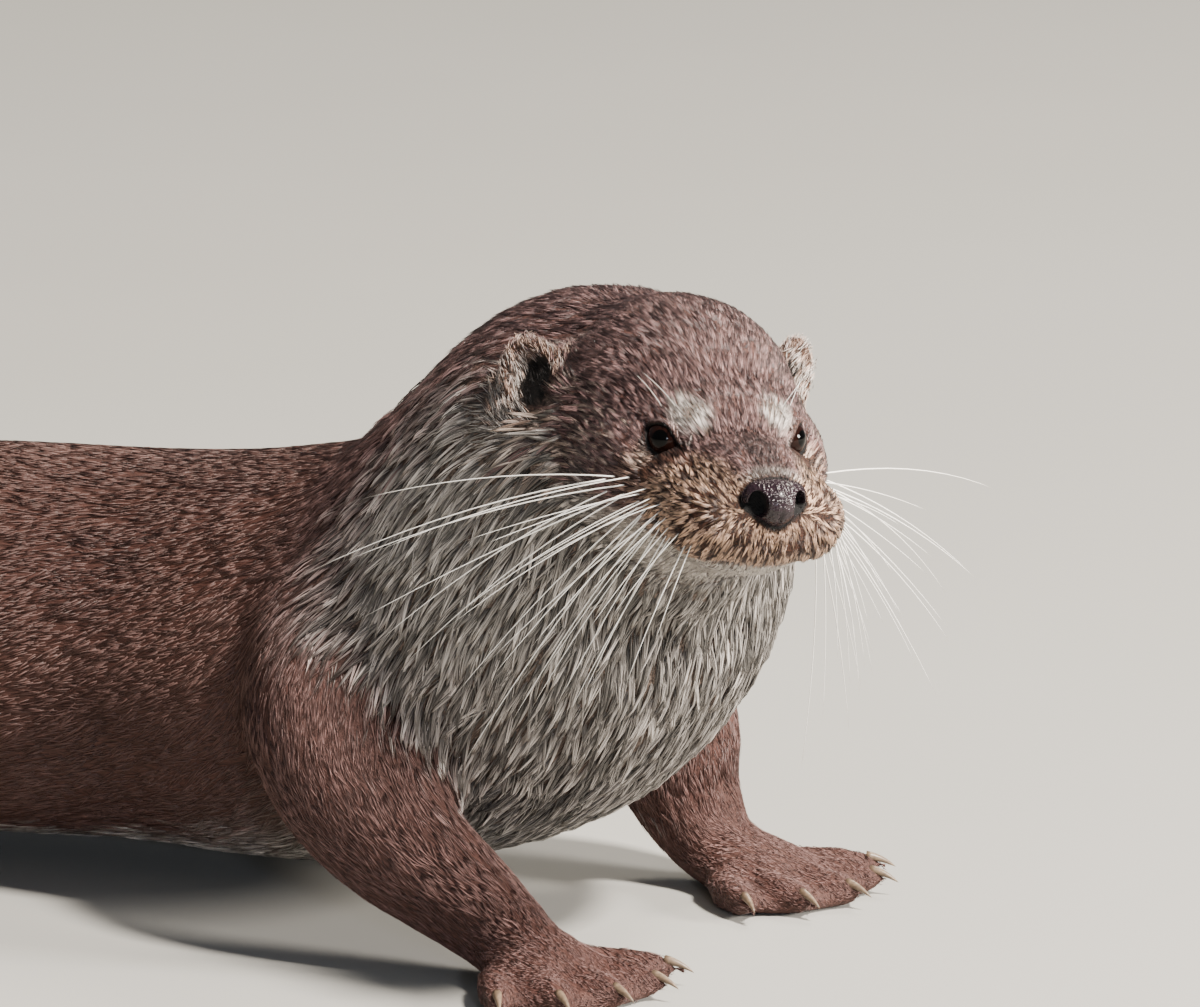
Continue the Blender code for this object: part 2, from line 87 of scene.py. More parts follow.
# Lines down the middle of the body and the legs, along which the coat lies. Each row gives a point, the
# body's radius there and the coat's numbers: its depth, the length of its brown fur, the length of its pale
# fur, the width of a strand, the space between locks and how many strands each lock has. The first four rows
# are in the head's axes.
DEPTH, BROWN_LONG, PALE_LONG, WIDTH, SPACING, STRANDS = range(6)
HEAD_ROWS = 4
BODY_LINE = (
    ((60, 0, -12), 4, 0.35, 1.5, 2.0, 0.25, 1.00, 6),
    ((22, 0, -14), 18, 0.50, 3.3, 3.4, 0.30, 1.20, 8),
    ((-5, 0, -10), 32, 0.60, 5.2, 7.5, 0.30, 1.35, 9.5),
    ((-38, 0, -8), 38, 0.90, 7.0, 12.0, 0.33, 1.65, 10),
    ((46, -68, 141), 55, 2.0, 8.0, 18.0, 0.44, 2.6, 5.2),
    ((25, -30, 103), 66, 2.4, 9.0, 19.0, 0.46, 2.8, 5.2),
    ((-4, 4, 77), 68, 2.1, 8.0, 17.0, 0.46, 2.8, 4.8),
    ((-46, 32, 67), 69, 1.7, 7.5, 11.0, 0.54, 2.8, 4.5),
    ((-88, 56, 64), 69, 1.6, 7.0, 9.0, 0.56, 2.85, 4.6),
    ((-140, 68, 64), 68, 1.6, 7.0, 9.0, 0.56, 2.85, 4.6),
    ((-200, 69, 64), 67, 1.6, 7.0, 9.0, 0.56, 2.85, 4.6),
    ((-262, 64, 63), 64, 1.6, 7.0, 9.0, 0.56, 2.85, 4.5),
    ((-320, 55, 62), 58, 1.6, 7.0, 9.0, 0.56, 2.85, 4.6),
    ((-366, 42, 57), 43, 1.6, 7.5, 9.0, 0.56, 2.7, 4.8),
    ((-398, 30, 47), 32, 1.6, 7.5, 9.0, 0.54, 2.6, 4.8),
    ((-452, 6, 30), 23, 1.6, 7.5, 8.0, 0.54, 2.5, 4.8),
    ((-505, -14, 20.5), 19, 1.5, 7.0, 8.0, 0.52, 2.4, 5),
    ((-562, -29, 15), 16, 1.4, 7.0, 7.5, 0.50, 2.3, 5),
    ((-622, -35, 11), 13, 1.2, 6.5, 7.0, 0.42, 2.2, 6),
    ((-682, -30, 8), 10, 1.0, 6.0, 6.5, 0.40, 2.0, 5),
    ((-735, -16, 5.4), 6.5, 0.7, 5.5, 6.0, 0.36, 1.8, 5),
    ((-790, 6, 3), 2, 0.5, 5.0, 5.5, 0.32, 1.6, 4),
)
# How far round from the top of the back, in degrees, the brown coat reaches before the pale underside, at
# each row of the body's line
BROWN_TO = (125, 118, 104, 88, 52, 58, 96, 132, 146, 152, 152, 152, 152, 160, 185, *(200,) * 7)
# The coat's numbers along any leg, from its first joint to its toes
LEG_ROWS = (
    (1.6, 7.0, 9.0, 0.54, 2.85, 4.5),
    (1.5, 6.5, 8.0, 0.52, 2.6, 4.3),
    (1.3, 6.0, 7.0, 0.48, 2.4, 4.2),
    (1.0, 5.0, 5.0, 0.38, 2.1, 4.4),
    (0.7, 3.8, 3.8, 0.34, 1.9, 5),
    (0.45, 2.6, 2.6, 0.28, 1.6, 5),
    (0.3, 1.8, 1.8, 0.24, 1.4, 4),
)
# The joints of each leg: x, y, z and its radius there
LEGS = {
    "foreleg_right": (
        (-24, -30, 84, 40),
        (-34, -54, 62, 29),
        (-22, -72, 40, 22),
        (0, -84, 24, 17),
        (14, -95, 14, 13),
        (26, -109, 8, 11),
    ),
    "foreleg_left": (
        (26, 12, 84, 41),
        (44, 22, 65, 32),
        (58, 27, 44, 25),
        (64, 27, 26, 18),
        (72, 19, 14, 13),
        (86, 10, 8, 11),
    ),
    "hindleg_right": (
        (-318, 36, 66, 36),
        (-292, 6, 54, 34),
        (-266, -16, 45, 23),
        (-288, -29, 28, 17),
        (-302, -35, 16, 13),
        (-284, -41, 9, 12),
    ),
    "hindleg_left": (
        (-318, 76, 66, 36),
        (-292, 106, 54, 34),
        (-266, 130, 45, 23),
        (-288, 143, 28, 17),
        (-302, 149, 16, 13),
        (-284, 154, 9, 12),
    ),
}
# Each foot: where its heel or wrist is, where it points, its length to the toes' tips and its width there
FEET = {
    "forefoot_right": ((10, -90), math.radians(-50), 58, 52),
    "forefoot_left": ((68, 22), math.radians(-36), 58, 52),
    "hindfoot_right": ((-308, -35), math.radians(-16), 94, 62),
    "hindfoot_left": ((-308, 149), math.radians(14), 94, 62),
}
TOES = 5
TOE_RADIUS = 5.8

# ---- Frames and lines ----


def middle(node):
    low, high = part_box(node)
    return (low + high) / 2


TURN = (
    Matrix.Rotation(HEAD_TURN, 3, "Z")
    @ Matrix.Rotation(HEAD_DIP, 3, "Y")
    @ Matrix.Rotation(HEAD_ROLL, 3, "X")
)
EYES_ROW = (middle("eye_left") + middle("eye_right")) / 2
EYES_BODY = EYES_MIDDLE + TURN @ Vector((EYE_CENTRE[0], 0, EYE_CENTRE[2]))
ORIGIN = EYES_BODY - EYES_ROW / MM  # the row's origin in the body's axes
TURN_ROWS = np.array(TURN)
HEAD_AT = np.array(EYES_MIDDLE)


def to_head(points):
    return (points - HEAD_AT) @ TURN_ROWS


def from_head(points):
    return np.asarray(points, float) @ TURN_ROWS.T + HEAD_AT


def to_row(points):
    return (np.asarray(points, float) - np.array(ORIGIN)) * MM


def unit(vectors):
    return vectors / np.maximum(np.linalg.norm(vectors, axis=-1, keepdims=True), 1e-9)


def square_to(ways, normals):
    """The ways, turned to lie at right angles to the normals."""
    return unit(ways - normals * (ways * normals).sum(1, keepdims=True))


def smooth_step(low, high, value):
    share = np.clip((value - low) / (high - low), 0, 1)
    return share * share * (3 - 2 * share)


def side_of(q):
    """What turns a place on the head's left into its like on the side of each point."""
    return np.where(q[:, 1:2] < 0, (1, -1, 1), (1, 1, 1))


def off(q, centre, size=1):
    """How far points are from a place on their side of the head, in its half sizes or in millimetres."""
    return np.linalg.norm((q * side_of(q) - centre) / size, axis=1)


class Line:
    """A line down the middle of the body or a leg, with the coat's numbers along it."""

    def __init__(self, points, radii, numbers):
        self.points = np.array(points, float)
        self.radii = np.array(radii, float)
        self.numbers = np.array(numbers, float)
        steps = np.diff(self.points, axis=0)
        ways = unit(steps)
        self.ways = np.vstack([ways[:1], unit(ways[:-1] + ways[1:]), ways[-1:]])
        self.reach = np.append(0.0, np.cumsum(np.linalg.norm(steps, axis=1)))

    def nearest(self, at):
        """For each point: its place along the line, in rows, and how far off the line it is, in radii."""
        best = np.full(len(at), np.inf)
        place = np.zeros(len(at))
        for i in range(len(self.points) - 1):
            step = self.points[i + 1] - self.points[i]
            share = np.clip((at - self.points[i]) @ step / (step @ step), 0, 1)
            centre = self.points[i] + share[:, None] * step
            radius = self.radii[i] + share * (self.radii[i + 1] - self.radii[i])
            far = np.linalg.norm(at - centre, axis=1) / radius
            closer = far < best
            best[closer] = far[closer]
            place[closer] = i + share[closer]
        return place, best

    def along(self, rows, place):
        """The rows' values at each place."""
        low = np.minimum(place.astype(int), len(self.points) - 2)
        share = (place - low)[:, None]
        rows = rows.reshape(len(rows), -1)
        return rows[low] * (1 - share) + rows[low + 1] * share


def body_line():
    points = [row[0] for row in BODY_LINE]
    points[:HEAD_ROWS] = from_head(points[:HEAD_ROWS]).tolist()
    return Line(points, [row[1] for row in BODY_LINE], [row[2:] for row in BODY_LINE])


def leg_line(leg):
    (x, y), heading, length, width = FEET[leg.replace("leg", "foot")]
    toe = (x + math.cos(heading) * length, y + math.sin(heading) * length, TOE_RADIUS)
    points = [*[joint[:3] for joint in LEGS[leg]], toe]
    radii = [*[joint[3] for joint in LEGS[leg][:-1]], width / 2, width / 2]
    return Line(points, radii, LEG_ROWS)


LINES = [body_line(), *[leg_line(leg) for leg in LEGS]]


def share_lines(at):
    """Each point's place along every line, and how much it belongs to each."""
    places, shares = zip(*[line.nearest(at) for line in LINES])
    shares = np.maximum(shares, 0.3) ** -7.0
    shares[1:] *= smooth_step(0.2, 1.6, np.array(places[1:]))  # a leg's first joint is inside the body
    return places, shares / shares.sum(0)


def round_line(out, ahead):
    """How far across a line and how far up from it points are, seen along it."""
    up = np.array((0.0, 0.0, 1.0)) - ahead * ahead[:, 2:3]
    up[np.linalg.norm(up, axis=1) < 0.3] = (1.0, 0.0, 0.0)  # where the line runs nearly upright
    up = square_to(up, ahead)
    return (out * np.cross(ahead, up)).sum(1), (out * up).sum(1)


def survey(at):
    """What the coat needs to know at points on the skin: their line, place, angle, way and numbers."""
    places, shares = share_lines(at)
    each = list(zip(LINES, places, shares))
    own = shares.argmax(0)
    place = np.choose(own, places)
    centre, ahead, reach = np.zeros_like(at), np.zeros_like(at), np.zeros(len(at))
    for i, line in enumerate(LINES):
        mine = own == i
        centre[mine] = line.along(line.points, place[mine])
        ahead[mine] = unit(line.along(line.ways, place[mine]))
        reach[mine] = line.along(line.reach, place[mine])[:, 0]
    across, high = round_line(at - centre, ahead)
    return {
        "line": own,
        "place": place,
        "body_place": places[0],
        "body_share": shares[0],
        "angle": np.arctan2(across, high),
        "straight": np.stack([reach, across, high], 1),
        "way": sum(share[:, None] * line.along(line.ways, place) for line, place, share in each),
        "numbers": sum(share[:, None] * line.along(line.numbers, place) for line, place, share in each),
    }


# ---- Ears, nose and eyelids ----

GAZE = (0.72, 0.67, 0.16)  # out through the middle of the eye's opening
LID_TILT = math.radians(25)  # the inner corner of the eye is the lower one
LID_WIDE = 66.0  # half the opening's width, seen from the middle of the eye, in degrees
LID_UP = 31.0
LID_DOWN = 43.0
# How far the skin stands off the eyeball, in millimetres, at degrees outside the opening's edge
LID_PROFILE = ((-12, -2.0), (-5, -1.5), (-0.5, -0.1), (2.5, 0.75), (8, 1.1), (16, 0.95), (30, 0.6))
# A soft fold round the lids: its depth in millimetres, and its width and places above and below in degrees
FOLD_DEEP, FOLD_WIDE, FOLD_ABOVE, FOLD_BELOW = 0.45, 4.0, 17, 25
FAR_FROM_EYES = 180.0


def ear_axes(q):
    """Points in the nearer ear's own axes: x out of its bowl, y across it and z up."""
    x, y, z = (q * side_of(q) - EAR_CENTRE).T
    cos, sin = math.cos(EAR_OPENS), math.sin(EAR_OPENS)
    return np.stack([x * cos + y * sin, -x * sin + y * cos, z], 1)


def ear_reach(q):
    """How far points are from the middle of the nearer ear, where 1 is its edge."""
    return np.linalg.norm(ear_axes(q) / EAR_SIZE, axis=1)


def nose_reach(q):
    """How far points are from the middle of the nose, where 1 is the edge of the bare pad."""
    centre, size = NOSE
    out = q - centre
    out[:, 1] /= 1 - 0.45 * smooth_step(-9.5, -16, q[:, 2])  # the pad narrows below
    return np.linalg.norm(out / size, axis=1)


def eye_axes():
    """The left eye's gaze, the way to its inner corner and the way up across it, in the head's axes."""
    gaze = unit(np.array(GAZE))
    inner = unit(np.cross(gaze, (0.0, 0.0, 1.0)))
    up = np.cross(inner, gaze)
    cos, sin = math.cos(LID_TILT), math.sin(LID_TILT)
    return gaze, inner * cos - up * sin, up * cos + inner * sin


def eye_angles(q):
    """Points' distances from the nearer eye's middle, and their angles towards its inner corner and up."""
    gaze, inner, up = eye_axes()
    out = q * side_of(q) - EYE_CENTRE
    ahead = out @ gaze
    across, rise = np.degrees(np.arctan2(out @ inner, ahead)), np.degrees(np.arctan2(out @ up, ahead))
    return np.linalg.norm(out, axis=1), across, rise


def lid_edge(across, rising):
    """How far the opening reaches up or down at an angle across it."""
    share = across / LID_WIDE
    round_off = np.clip(1 - share**2, 0, 1)
    above = LID_UP * round_off**0.8 * (1 - 0.28 * share)
    below = LID_DOWN * round_off**0.65 * (1 + 0.1 * share)
    return np.where(rising, above, below)


def lid_margin(q):
    """Degrees outside the edge of the nearer eye's opening, and below nought inside it."""
    reach, across, rise = eye_angles(q)
    past_corner = np.hypot(np.abs(across) - LID_WIDE, rise)
    margin = np.where(np.abs(across) < LID_WIDE, np.abs(rise) - lid_edge(across, rise > 0), past_corner)
    return np.where(reach < EYE_RADIUS * 2.2, margin, FAR_FROM_EYES)


def open_eyes(q):
    """Draws the skin round each eyeball into lids with a fold, and sinks it behind the eye in the opening."""
    reach, _, rise = eye_angles(q)
    margin = lid_margin(q)
    fold = np.where(rise > 0, FOLD_ABOVE, FOLD_BELOW)
    want = EYE_RADIUS + np.interp(margin, *np.array(LID_PROFILE).T)
    want -= FOLD_DEEP * np.exp(-(((margin - fold) / FOLD_WIDE) ** 2))
    share = smooth_step(50, 12, margin) * smooth_step(2.7 * EYE_RADIUS, 2.15 * EYE_RADIUS, reach)
    centre = EYE_CENTRE * side_of(q)
    return centre + unit(q - centre) * (reach + (want - reach) * share)[:, None]


# ---- Markings, the same on the skin and on the coat ----

PALE, GOLD, DARK, RUSSET = range(4)


def ripple(at, size, seed):
    """A soft random value between -1 and 1 that changes over about size millimetres."""
    rng = np.random.default_rng(seed)
    value = np.zeros(len(at))
    for _ in range(6):
        way = unit(rng.normal(size=3)) * rng.uniform(0.7, 1.5) * 2 * math.pi / size
        value += np.sin(at @ way + rng.uniform(0, 6.3))
    return value / 3.2


def markings(at):
    """How pale, how golden, how dark and how russet the animal is at each point, each from 0 to 1. The pale
    patch over each eye is painted sheen, and the dark in the ears' bowls is partly painted shade.
    """
    places, shares = share_lines(at)
    place, on_body = places[0], shares[0]
    body = LINES[0]
    across, high = round_line(at - body.along(body.points, place), unit(body.along(body.ways, place)))
    angle = np.degrees(np.arctan2(np.abs(across), high))
    q = to_head(at)
    ahead, up = q[:, 0], q[:, 2]
    nose, lid = nose_reach(q), lid_margin(q)

    # The underside is pale up to a wavy edge, softer on the shoulders, and so is a patch behind each eye
    edge = np.interp(place, range(len(BROWN_TO)), BROWN_TO) + 7 * ripple(at, 26, 3) + 5 * ripple(at, 11, 4)
    soft = np.interp(place, (3.0, 4.4, 6.6, 7.6), (9, 20, 26, 12))
    pale = smooth_step(-1, 1, (angle - edge) / soft - 0.3) * smooth_step(0.3, 0.95, on_body)
    pale *= 1 - 0.75 * smooth_step(4.7, 5.9, place) * smooth_step(150, 115, angle)
    behind_eye = np.linalg.norm((np.abs(q) - (18, 25, 8)) * (1.0, 1.2, 1.6), axis=1)
    pale = np.maximum(pale, 0.35 * smooth_step(12, 4, behind_eye) * (ahead < -8) * (up < 2))

    # The whisker pads, the lip and the patches under the eyes are golden, down to the edge of the jaw
    gold = smooth_step(1.35, 0.95, np.minimum(off(q, *WHISKER_PAD), off(q, *LIP)))
    gold = np.maximum(gold, 0.55 * smooth_step(1.3, 0.7, off(q, *UNDER_EYE)))
    gold = gold * (1 - smooth_step(-25.5, -28.5, up) * smooth_step(-2, 6, ahead) * (ahead < 50))
    pale = np.where(ahead > -12, pale * (1 - gold), pale)

    # A dusky strip down the bridge narrows towards the forehead, and a pale ring is round the nose
    strip = np.abs(q[:, 1]) / (4.6 - 0.07 * np.clip(40 - ahead, 0, 40))
    dark = 0.5 * smooth_step(1.5, 0.8, strip) * smooth_step(8, 22, ahead) * (up > -9) * (ahead < 50)
    dark = np.maximum(dark, smooth_step(1.08, 0.96, nose))
    pale = np.maximum(pale, 0.75 * smooth_step(1.5, 1.15, nose) * (nose > 1.02))

    # Each ear has a light rim round a dark bowl, which is set back in it and a little low; the bowl's
    # darkness is partly its skin and partly painted shade in the ear's hollow
    ear = ear_axes(q)
    out, wide, tall = ear[:, 0], *EAR_BOWL
    across = np.hypot(ear[:, 1] / wide, ear[:, 2] / tall)
    inner = np.hypot((ear[:, 1] + 3.0) / (wide - 1.9), (ear[:, 2] + 0.8) / (tall - 1.0))
    near_ear = (np.abs(out) < 7) & (across < 1.9)
    dark = np.maximum(dark, near_ear * smooth_step(1.0, 0.75, inner) * smooth_step(-1.6, -0.4, out))
    rim = near_ear * smooth_step(0.75, 0.95, across) * smooth_step(1.75, 1.25, across)
    rim *= smooth_step(-3.5, -0.5, out)
    rim *= smooth_step(1.4, 1.1, np.linalg.norm(ear / (6.0, 10.5, 12.5), axis=1))
    gold = np.maximum(gold, 0.62 * rim)
    pale = np.maximum(pale * (1 - rim), 0.4 * rim)

    # The lids are dark, with a ring round them that is palest below, and a pale patch over each eye is
    # painted sheen, the glare of wet fur on the brow
    dark = np.maximum(dark, smooth_step(6.0, 2.5, lid))
    ring = smooth_step(5, 9, lid) * smooth_step(26, 14, lid)
    pale = np.maximum(pale, ring * (0.1 + 0.65 * smooth_step(3.5, -2.0, up)))
    pale = np.maximum(pale, smooth_step(1.5, 0.7, off(q, *BROW_SHEEN)))

    russet = smooth_step(4.6, 6.5, place) * (0.92 + 0.08 * ripple(at, 60, 5))
    russet = np.maximum(russet, 0.65 * smooth_step(0.7, 0.3, on_body))
    return np.stack([pale, gold, dark, np.clip(russet, 0, 1)], 1)


# ---- Mesh helpers ----


def only(*objs):
    """Leaves these objects selected, the first of them active."""
    bpy.ops.object.select_all(action="DESELECT")
    for obj in objs:
        obj.select_set(True)
    bpy.context.view_layer.objects.active = objs[0]


def apply_modifier(obj, kind, **settings):
    change = obj.modifiers.new(kind.lower(), kind)
    for name, value in settings.items():
        setattr(change, name, value)
    only(obj)
    bpy.ops.object.modifier_apply(modifier=change.name)


def read(items, field, kind=float):
    """Three numbers from each item of a mesh, as rows."""
    values = np.empty(len(items) * 3, kind)
    items.foreach_get(field, values)
    return values.reshape(-1, 3)


def places_of(mesh):
    return read(mesh.vertices, "co")


def normals_of(mesh):
    return read(mesh.vertex_normals, "vector", np.float32).astype(float)


def triangles_of(mesh):
    mesh.calc_loop_triangles()
    return read(mesh.loop_triangles, "vertices", np.int32)


def place_all(mesh, points):
    mesh.vertices.foreach_set("co", np.asarray(points, float).ravel())
    mesh.update()


def weigh(obj, name, weights):
    """A vertex group from an array of weights, in a few steps."""
    group = obj.vertex_groups.new(name=name)
    steps = np.round(np.clip(weights, 0, 1) * 12).astype(int)
    for step in range(1, 13):
        chosen = np.flatnonzero(steps == step)
        if len(chosen):
            group.add(chosen.tolist(), step / 12, "REPLACE")


def add_layer(mesh, name, values):
    """An attribute of a mesh's points, from rows of three numbers or of four."""
    kind, field = ("FLOAT_VECTOR", "vector") if values.shape[1] == 3 else ("FLOAT_COLOR", "color")
    layer = mesh.attributes.new(name, kind, "POINT")
    layer.data.foreach_set(field, values.astype(np.float32).ravel())


def add_object(name, mesh):
    mesh.polygons.foreach_set("use_smooth", np.ones(len(mesh.polygons), bool))
    mesh.update(calc_edges=True)
    obj = bpy.data.objects.new(name, mesh)
    bpy.context.scene.collection.objects.link(obj)
    return obj


def triangle_mesh(name, points, triangles):
    """An object from arrays of many points in the body's axes and of triangles."""
    mesh = bpy.data.meshes.new(name)
    mesh.vertices.add(len(points))
    mesh.vertices.foreach_set("co", to_row(points).astype(np.float32).ravel())
    mesh.loops.add(triangles.size)
    mesh.loops.foreach_set("vertex_index", triangles.astype(np.int32).ravel())
    mesh.polygons.add(len(triangles))
    mesh.polygons.foreach_set("loop_start", np.arange(0, triangles.size, 3, dtype=np.int32))
    return add_object(name, mesh)


# ---- Skin ----

SKIN_GRAIN = 1.25  # the squares of the remeshed skin
SWELL = 0.45  # closes the cuts between the solids
SKIN_CLEAR, COAT_CLEAR = 0.05, 0.2  # above the floor
BODY_TRIANGLES = 88_000  # what thinning leaves of the skin away from the head
# Where the skin's mesh is made twice as fine, on the face and then at the eyes: middles, and how far round
FINE = (
    (((14, 0, -12),), 33),
    (((2.5, 20.0, 0), (2.5, -20.0, 0)), 8.5),
)
MOUTH_DEEP, MOUTH_WIDE = 1.5, 1.5
CLEFT_DEEP, CLEFT_WIDE = 0.9, 0.9


def make_skin():
    """One skin over all the flesh, drawn in by the coat's depth, with eyelids, a mouth and a cleft."""
    skin = join_flesh()
    smooth_skin(skin)
    thin_skin(skin)
    refine_face(skin)
    draw_in(skin)
    return skin


def join_flesh():
    """Copies of the flesh and the eyes, swelled to close the cuts and remeshed as one."""
    copies = []
    for node in [*FLESH, "eye_left", "eye_right"]:
        copy = bpy.data.objects.new("skin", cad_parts[node].data.copy())
        bpy.context.scene.collection.objects.link(copy)
        copies.append(copy)
        bm = bmesh.new()
        bm.from_mesh(copy.data)
        bmesh.ops.remove_doubles(bm, verts=bm.verts, dist=1e-6)
        bm.to_mesh(copy.data)
        bm.free()
        points = places_of(copy.data) + normals_of(copy.data) * SWELL * MM
        place_all(copy.data, points / MM + np.array(ORIGIN))
    only(*copies)
    bpy.ops.object.join()
    skin = copies[0]
    skin.name = "otter_skin"
    skin.data.materials.clear()
    apply_modifier(skin, "REMESH", mode="VOXEL", voxel_size=SKIN_GRAIN, use_smooth_shade=True)
    return skin


def smooth_skin(skin):
    """Evens out the joins between the solids, least on the face, the ears, the feet and the tail."""
    at = places_of(skin.data)
    found = survey(at)
    q = to_head(at)
    face, ears = off(q, FACE_MIDDLE), ear_reach(q)
    calm = smooth_step(48, 95, face)
    calm *= 1 - 0.9 * smooth_step(2.6, 4.6, np.where(found["line"] > 0, found["place"], 0))
    calm *= 1 - 0.7 * smooth_step(15, 19, np.where(found["line"] == 0, found["place"], 0))
    calm *= smooth_step(1.2, 1.9, ears)
    gentle = (smooth_step(16, 30, face) * 0.5 + 0.5) * (smooth_step(1.0, 1.6, ears) * 0.7 + 0.3)
    for name, weights, rounds in (("calm", calm, 60), ("gentle", gentle, 9)):
        weigh(skin, name, weights)
        apply_modifier(skin, "SMOOTH", factor=0.5, iterations=rounds, vertex_group=name)
    skin.vertex_groups.clear()


def thin_skin(skin):
    """Thins the mesh everywhere but on the head."""
    q = to_head(places_of(skin.data))
    kept = (off(q, FACE_MIDDLE) < 46) | (ear_reach(q) < 1.5)
    corners = kept[triangles_of(skin.data)]
    ratio = (corners.all(1).sum() + BODY_TRIANGLES) / len(corners)
    weigh(skin, "thin", (~kept).astype(float))
    apply_modifier(skin, "DECIMATE", ratio=ratio, use_collapse_triangulate=True, vertex_group="thin")
    skin.vertex_groups.clear()


def refine_face(skin):
    bm = bmesh.new()
    bm.from_mesh(skin.data)
    for places, within in FINE:
        middles = [Vector(place) for place in from_head(places)]
        fine = [e for e in bm.edges if min((e.verts[0].co - m).length for m in middles) < within]
        bmesh.ops.subdivide_edges(bm, edges=fine, cuts=1, use_grid_fill=True)
        bmesh.ops.triangulate(bm, faces=[f for f in bm.faces if len(f.verts) > 3])
    bm.to_mesh(skin.data)
    bm.free()


def draw_in(skin):
    """Draws the skin in by the coat's depth, less at the nose, ears, eyes and soles, and shapes the face."""
    at, normals = places_of(skin.data), normals_of(skin.data)
    q = to_head(at)
    depth = survey(at)["numbers"][:, DEPTH]
    depth = depth * (0.35 + 0.65 * smooth_step(8, 20, off(q, MUZZLE_END)))
    depth *= 0.2 + 0.8 * smooth_step(1.0, 2.2, ear_reach(q))
    depth *= smooth_step(10, 50, lid_margin(q))
    depth *= 1 - smooth_step(4, 0.5, at[:, 2] - ORIGIN.z)
    at = at - normals * (depth + SWELL)[:, None]
    at = from_head(draw_mouth(open_eyes(to_head(at))))
    at[:, 2] = np.maximum(at[:, 2], ORIGIN.z + SKIN_CLEAR)
    place_all(skin.data, at)


def draw_mouth(q):
    """The closed line of the mouth and the cleft below the nose."""
    steps = np.linspace(0, 1, 30)
    for side in (1, -1):
        lip = np.stack([43 - 37 * steps, side * 23.5 * steps**0.72, -28.5 + 4.0 * steps**2], 1)
        near = np.full(len(q), np.inf)
        for point in lip:
            near = np.minimum(near, np.linalg.norm((q - point) * (1, 1, 1.25), axis=1))
        inwards = unit(np.array((8, 0, -17)) - q)
        q = q + inwards * (MOUTH_DEEP * np.exp(-((near / MOUTH_WIDE) ** 2)))[:, None]
    low = smooth_step(-15, -18, q[:, 2]) * smooth_step(-28, -25, q[:, 2]) * (q[:, 0] > 34)
    q[:, 0] -= CLEFT_DEEP * np.exp(-((q[:, 1] / CLEFT_WIDE) ** 2)) * low
    return q


# ---- Coat ----

TUFT_LONG, TUFT_SPACING = 3.9, 1.58  # the tufts on the whisker pads
LONG_LOCK = 10.5  # longer strands bend, and have rings along them
# For short and for long strands: how deep the root is, where the rings are along them and how wide they are
STRAND_FORMS = (
    (0.04, (0.0,), (1.0,)),
    (0.35, (0.0, 0.34, 0.68), (0.7, 1.0, 0.72)),
)
STRAND_THICK = 0.35  # as a share of its width
PATCH_WIDE, PATCH_LONG = 0.0012, 0.003  # half the width, and the length, of a strand's patch on the map
MAP_SHARE, MAP_START = 0.99, (0.004, 0.003)  # how much of the map the roots take up, and where they start
END = 30.0  # past the last row of every line
# Each piece of the coat: its lines, and the first and last place on them
COAT_PIECES = (
    ("coat_face", (0,), 0.0, 2.15),
    ("coat_crown", (0,), 2.15, 3.55),
    ("coat_neck_front", (0,), 3.55, 4.35),
    ("coat_neck_back", (0,), 4.35, 5.2),
    ("coat_shoulders", (0,), 5.2, 7.0),
    ("coat_ribs", (0,), 7.0, 9.0),
    ("coat_flanks", (0,), 9.0, 11.0),
    ("coat_loins", (0,), 11.0, 13.2),
    ("coat_tail", (0,), 13.2, END),
    ("coat_forelegs", (1, 2), 0.0, END),
    ("coat_hindlegs", (3, 4), 0.0, END),
)


def lie_of_coat(mesh, at, normals, found):
    """The way that the fur lies at each vertex of the skin, smoothed over its neighbours."""
    q = to_head(at)
    place, on_body = found["body_place"], found["body_share"]
    # It hangs a little, most on the neck and not on the tail, and droops over the whisker pads
    on_head = smooth_step(4.2, 3.2, place) * on_body
    droop = 0.30 + 0.25 * smooth_step(3.0, 4.5, place) * smooth_step(8, 6, place)
    droop = droop * (1 - on_head) + on_head * 0.22 * smooth_step(1.2, 2.4, np.abs(found["angle"]))
    way = found["way"].copy()
    way[:, 2] -= droop * on_body * smooth_step(15, 13, place)
    way[:, 2] -= 0.45 * (smooth_step(0, 12, q[:, 0]) * smooth_step(-6, -12, q[:, 2]))
    # It runs up the ears
    share = smooth_step(2.0, 1.3, ear_reach(q))[:, None]
    up_ear = (side_of(q) * (-0.3, 0.35, 0.9)) @ TURN_ROWS.T
    way = unit(way * (1 - share) + up_ear * share)
    # It turns away from the eyes
    pupil = side_of(q) * (eye_axes()[0] * EYE_RADIUS + EYE_CENTRE)
    away = unit(q - pupil) @ TURN_ROWS.T
    share = smooth_step(34, 6, lid_margin(q))[:, None]
    towards = np.minimum((way * away).sum(1, keepdims=True), 0)
    way = square_to(way - away * towards * share + away * 0.3 * share, normals)
    ends = np.empty(len(mesh.edges) * 2, np.int32)
    mesh.edges.foreach_get("vertices", ends)
    a, b = ends.reshape(-1, 2).T
    for _ in range(6):
        total = np.empty_like(way)
        for k in range(3):
            total[:, k] = np.bincount(a, way[b, k], len(way)) + np.bincount(b, way[a, k], len(way))
        way = square_to(unit(way + total * 0.5), normals)
    return way


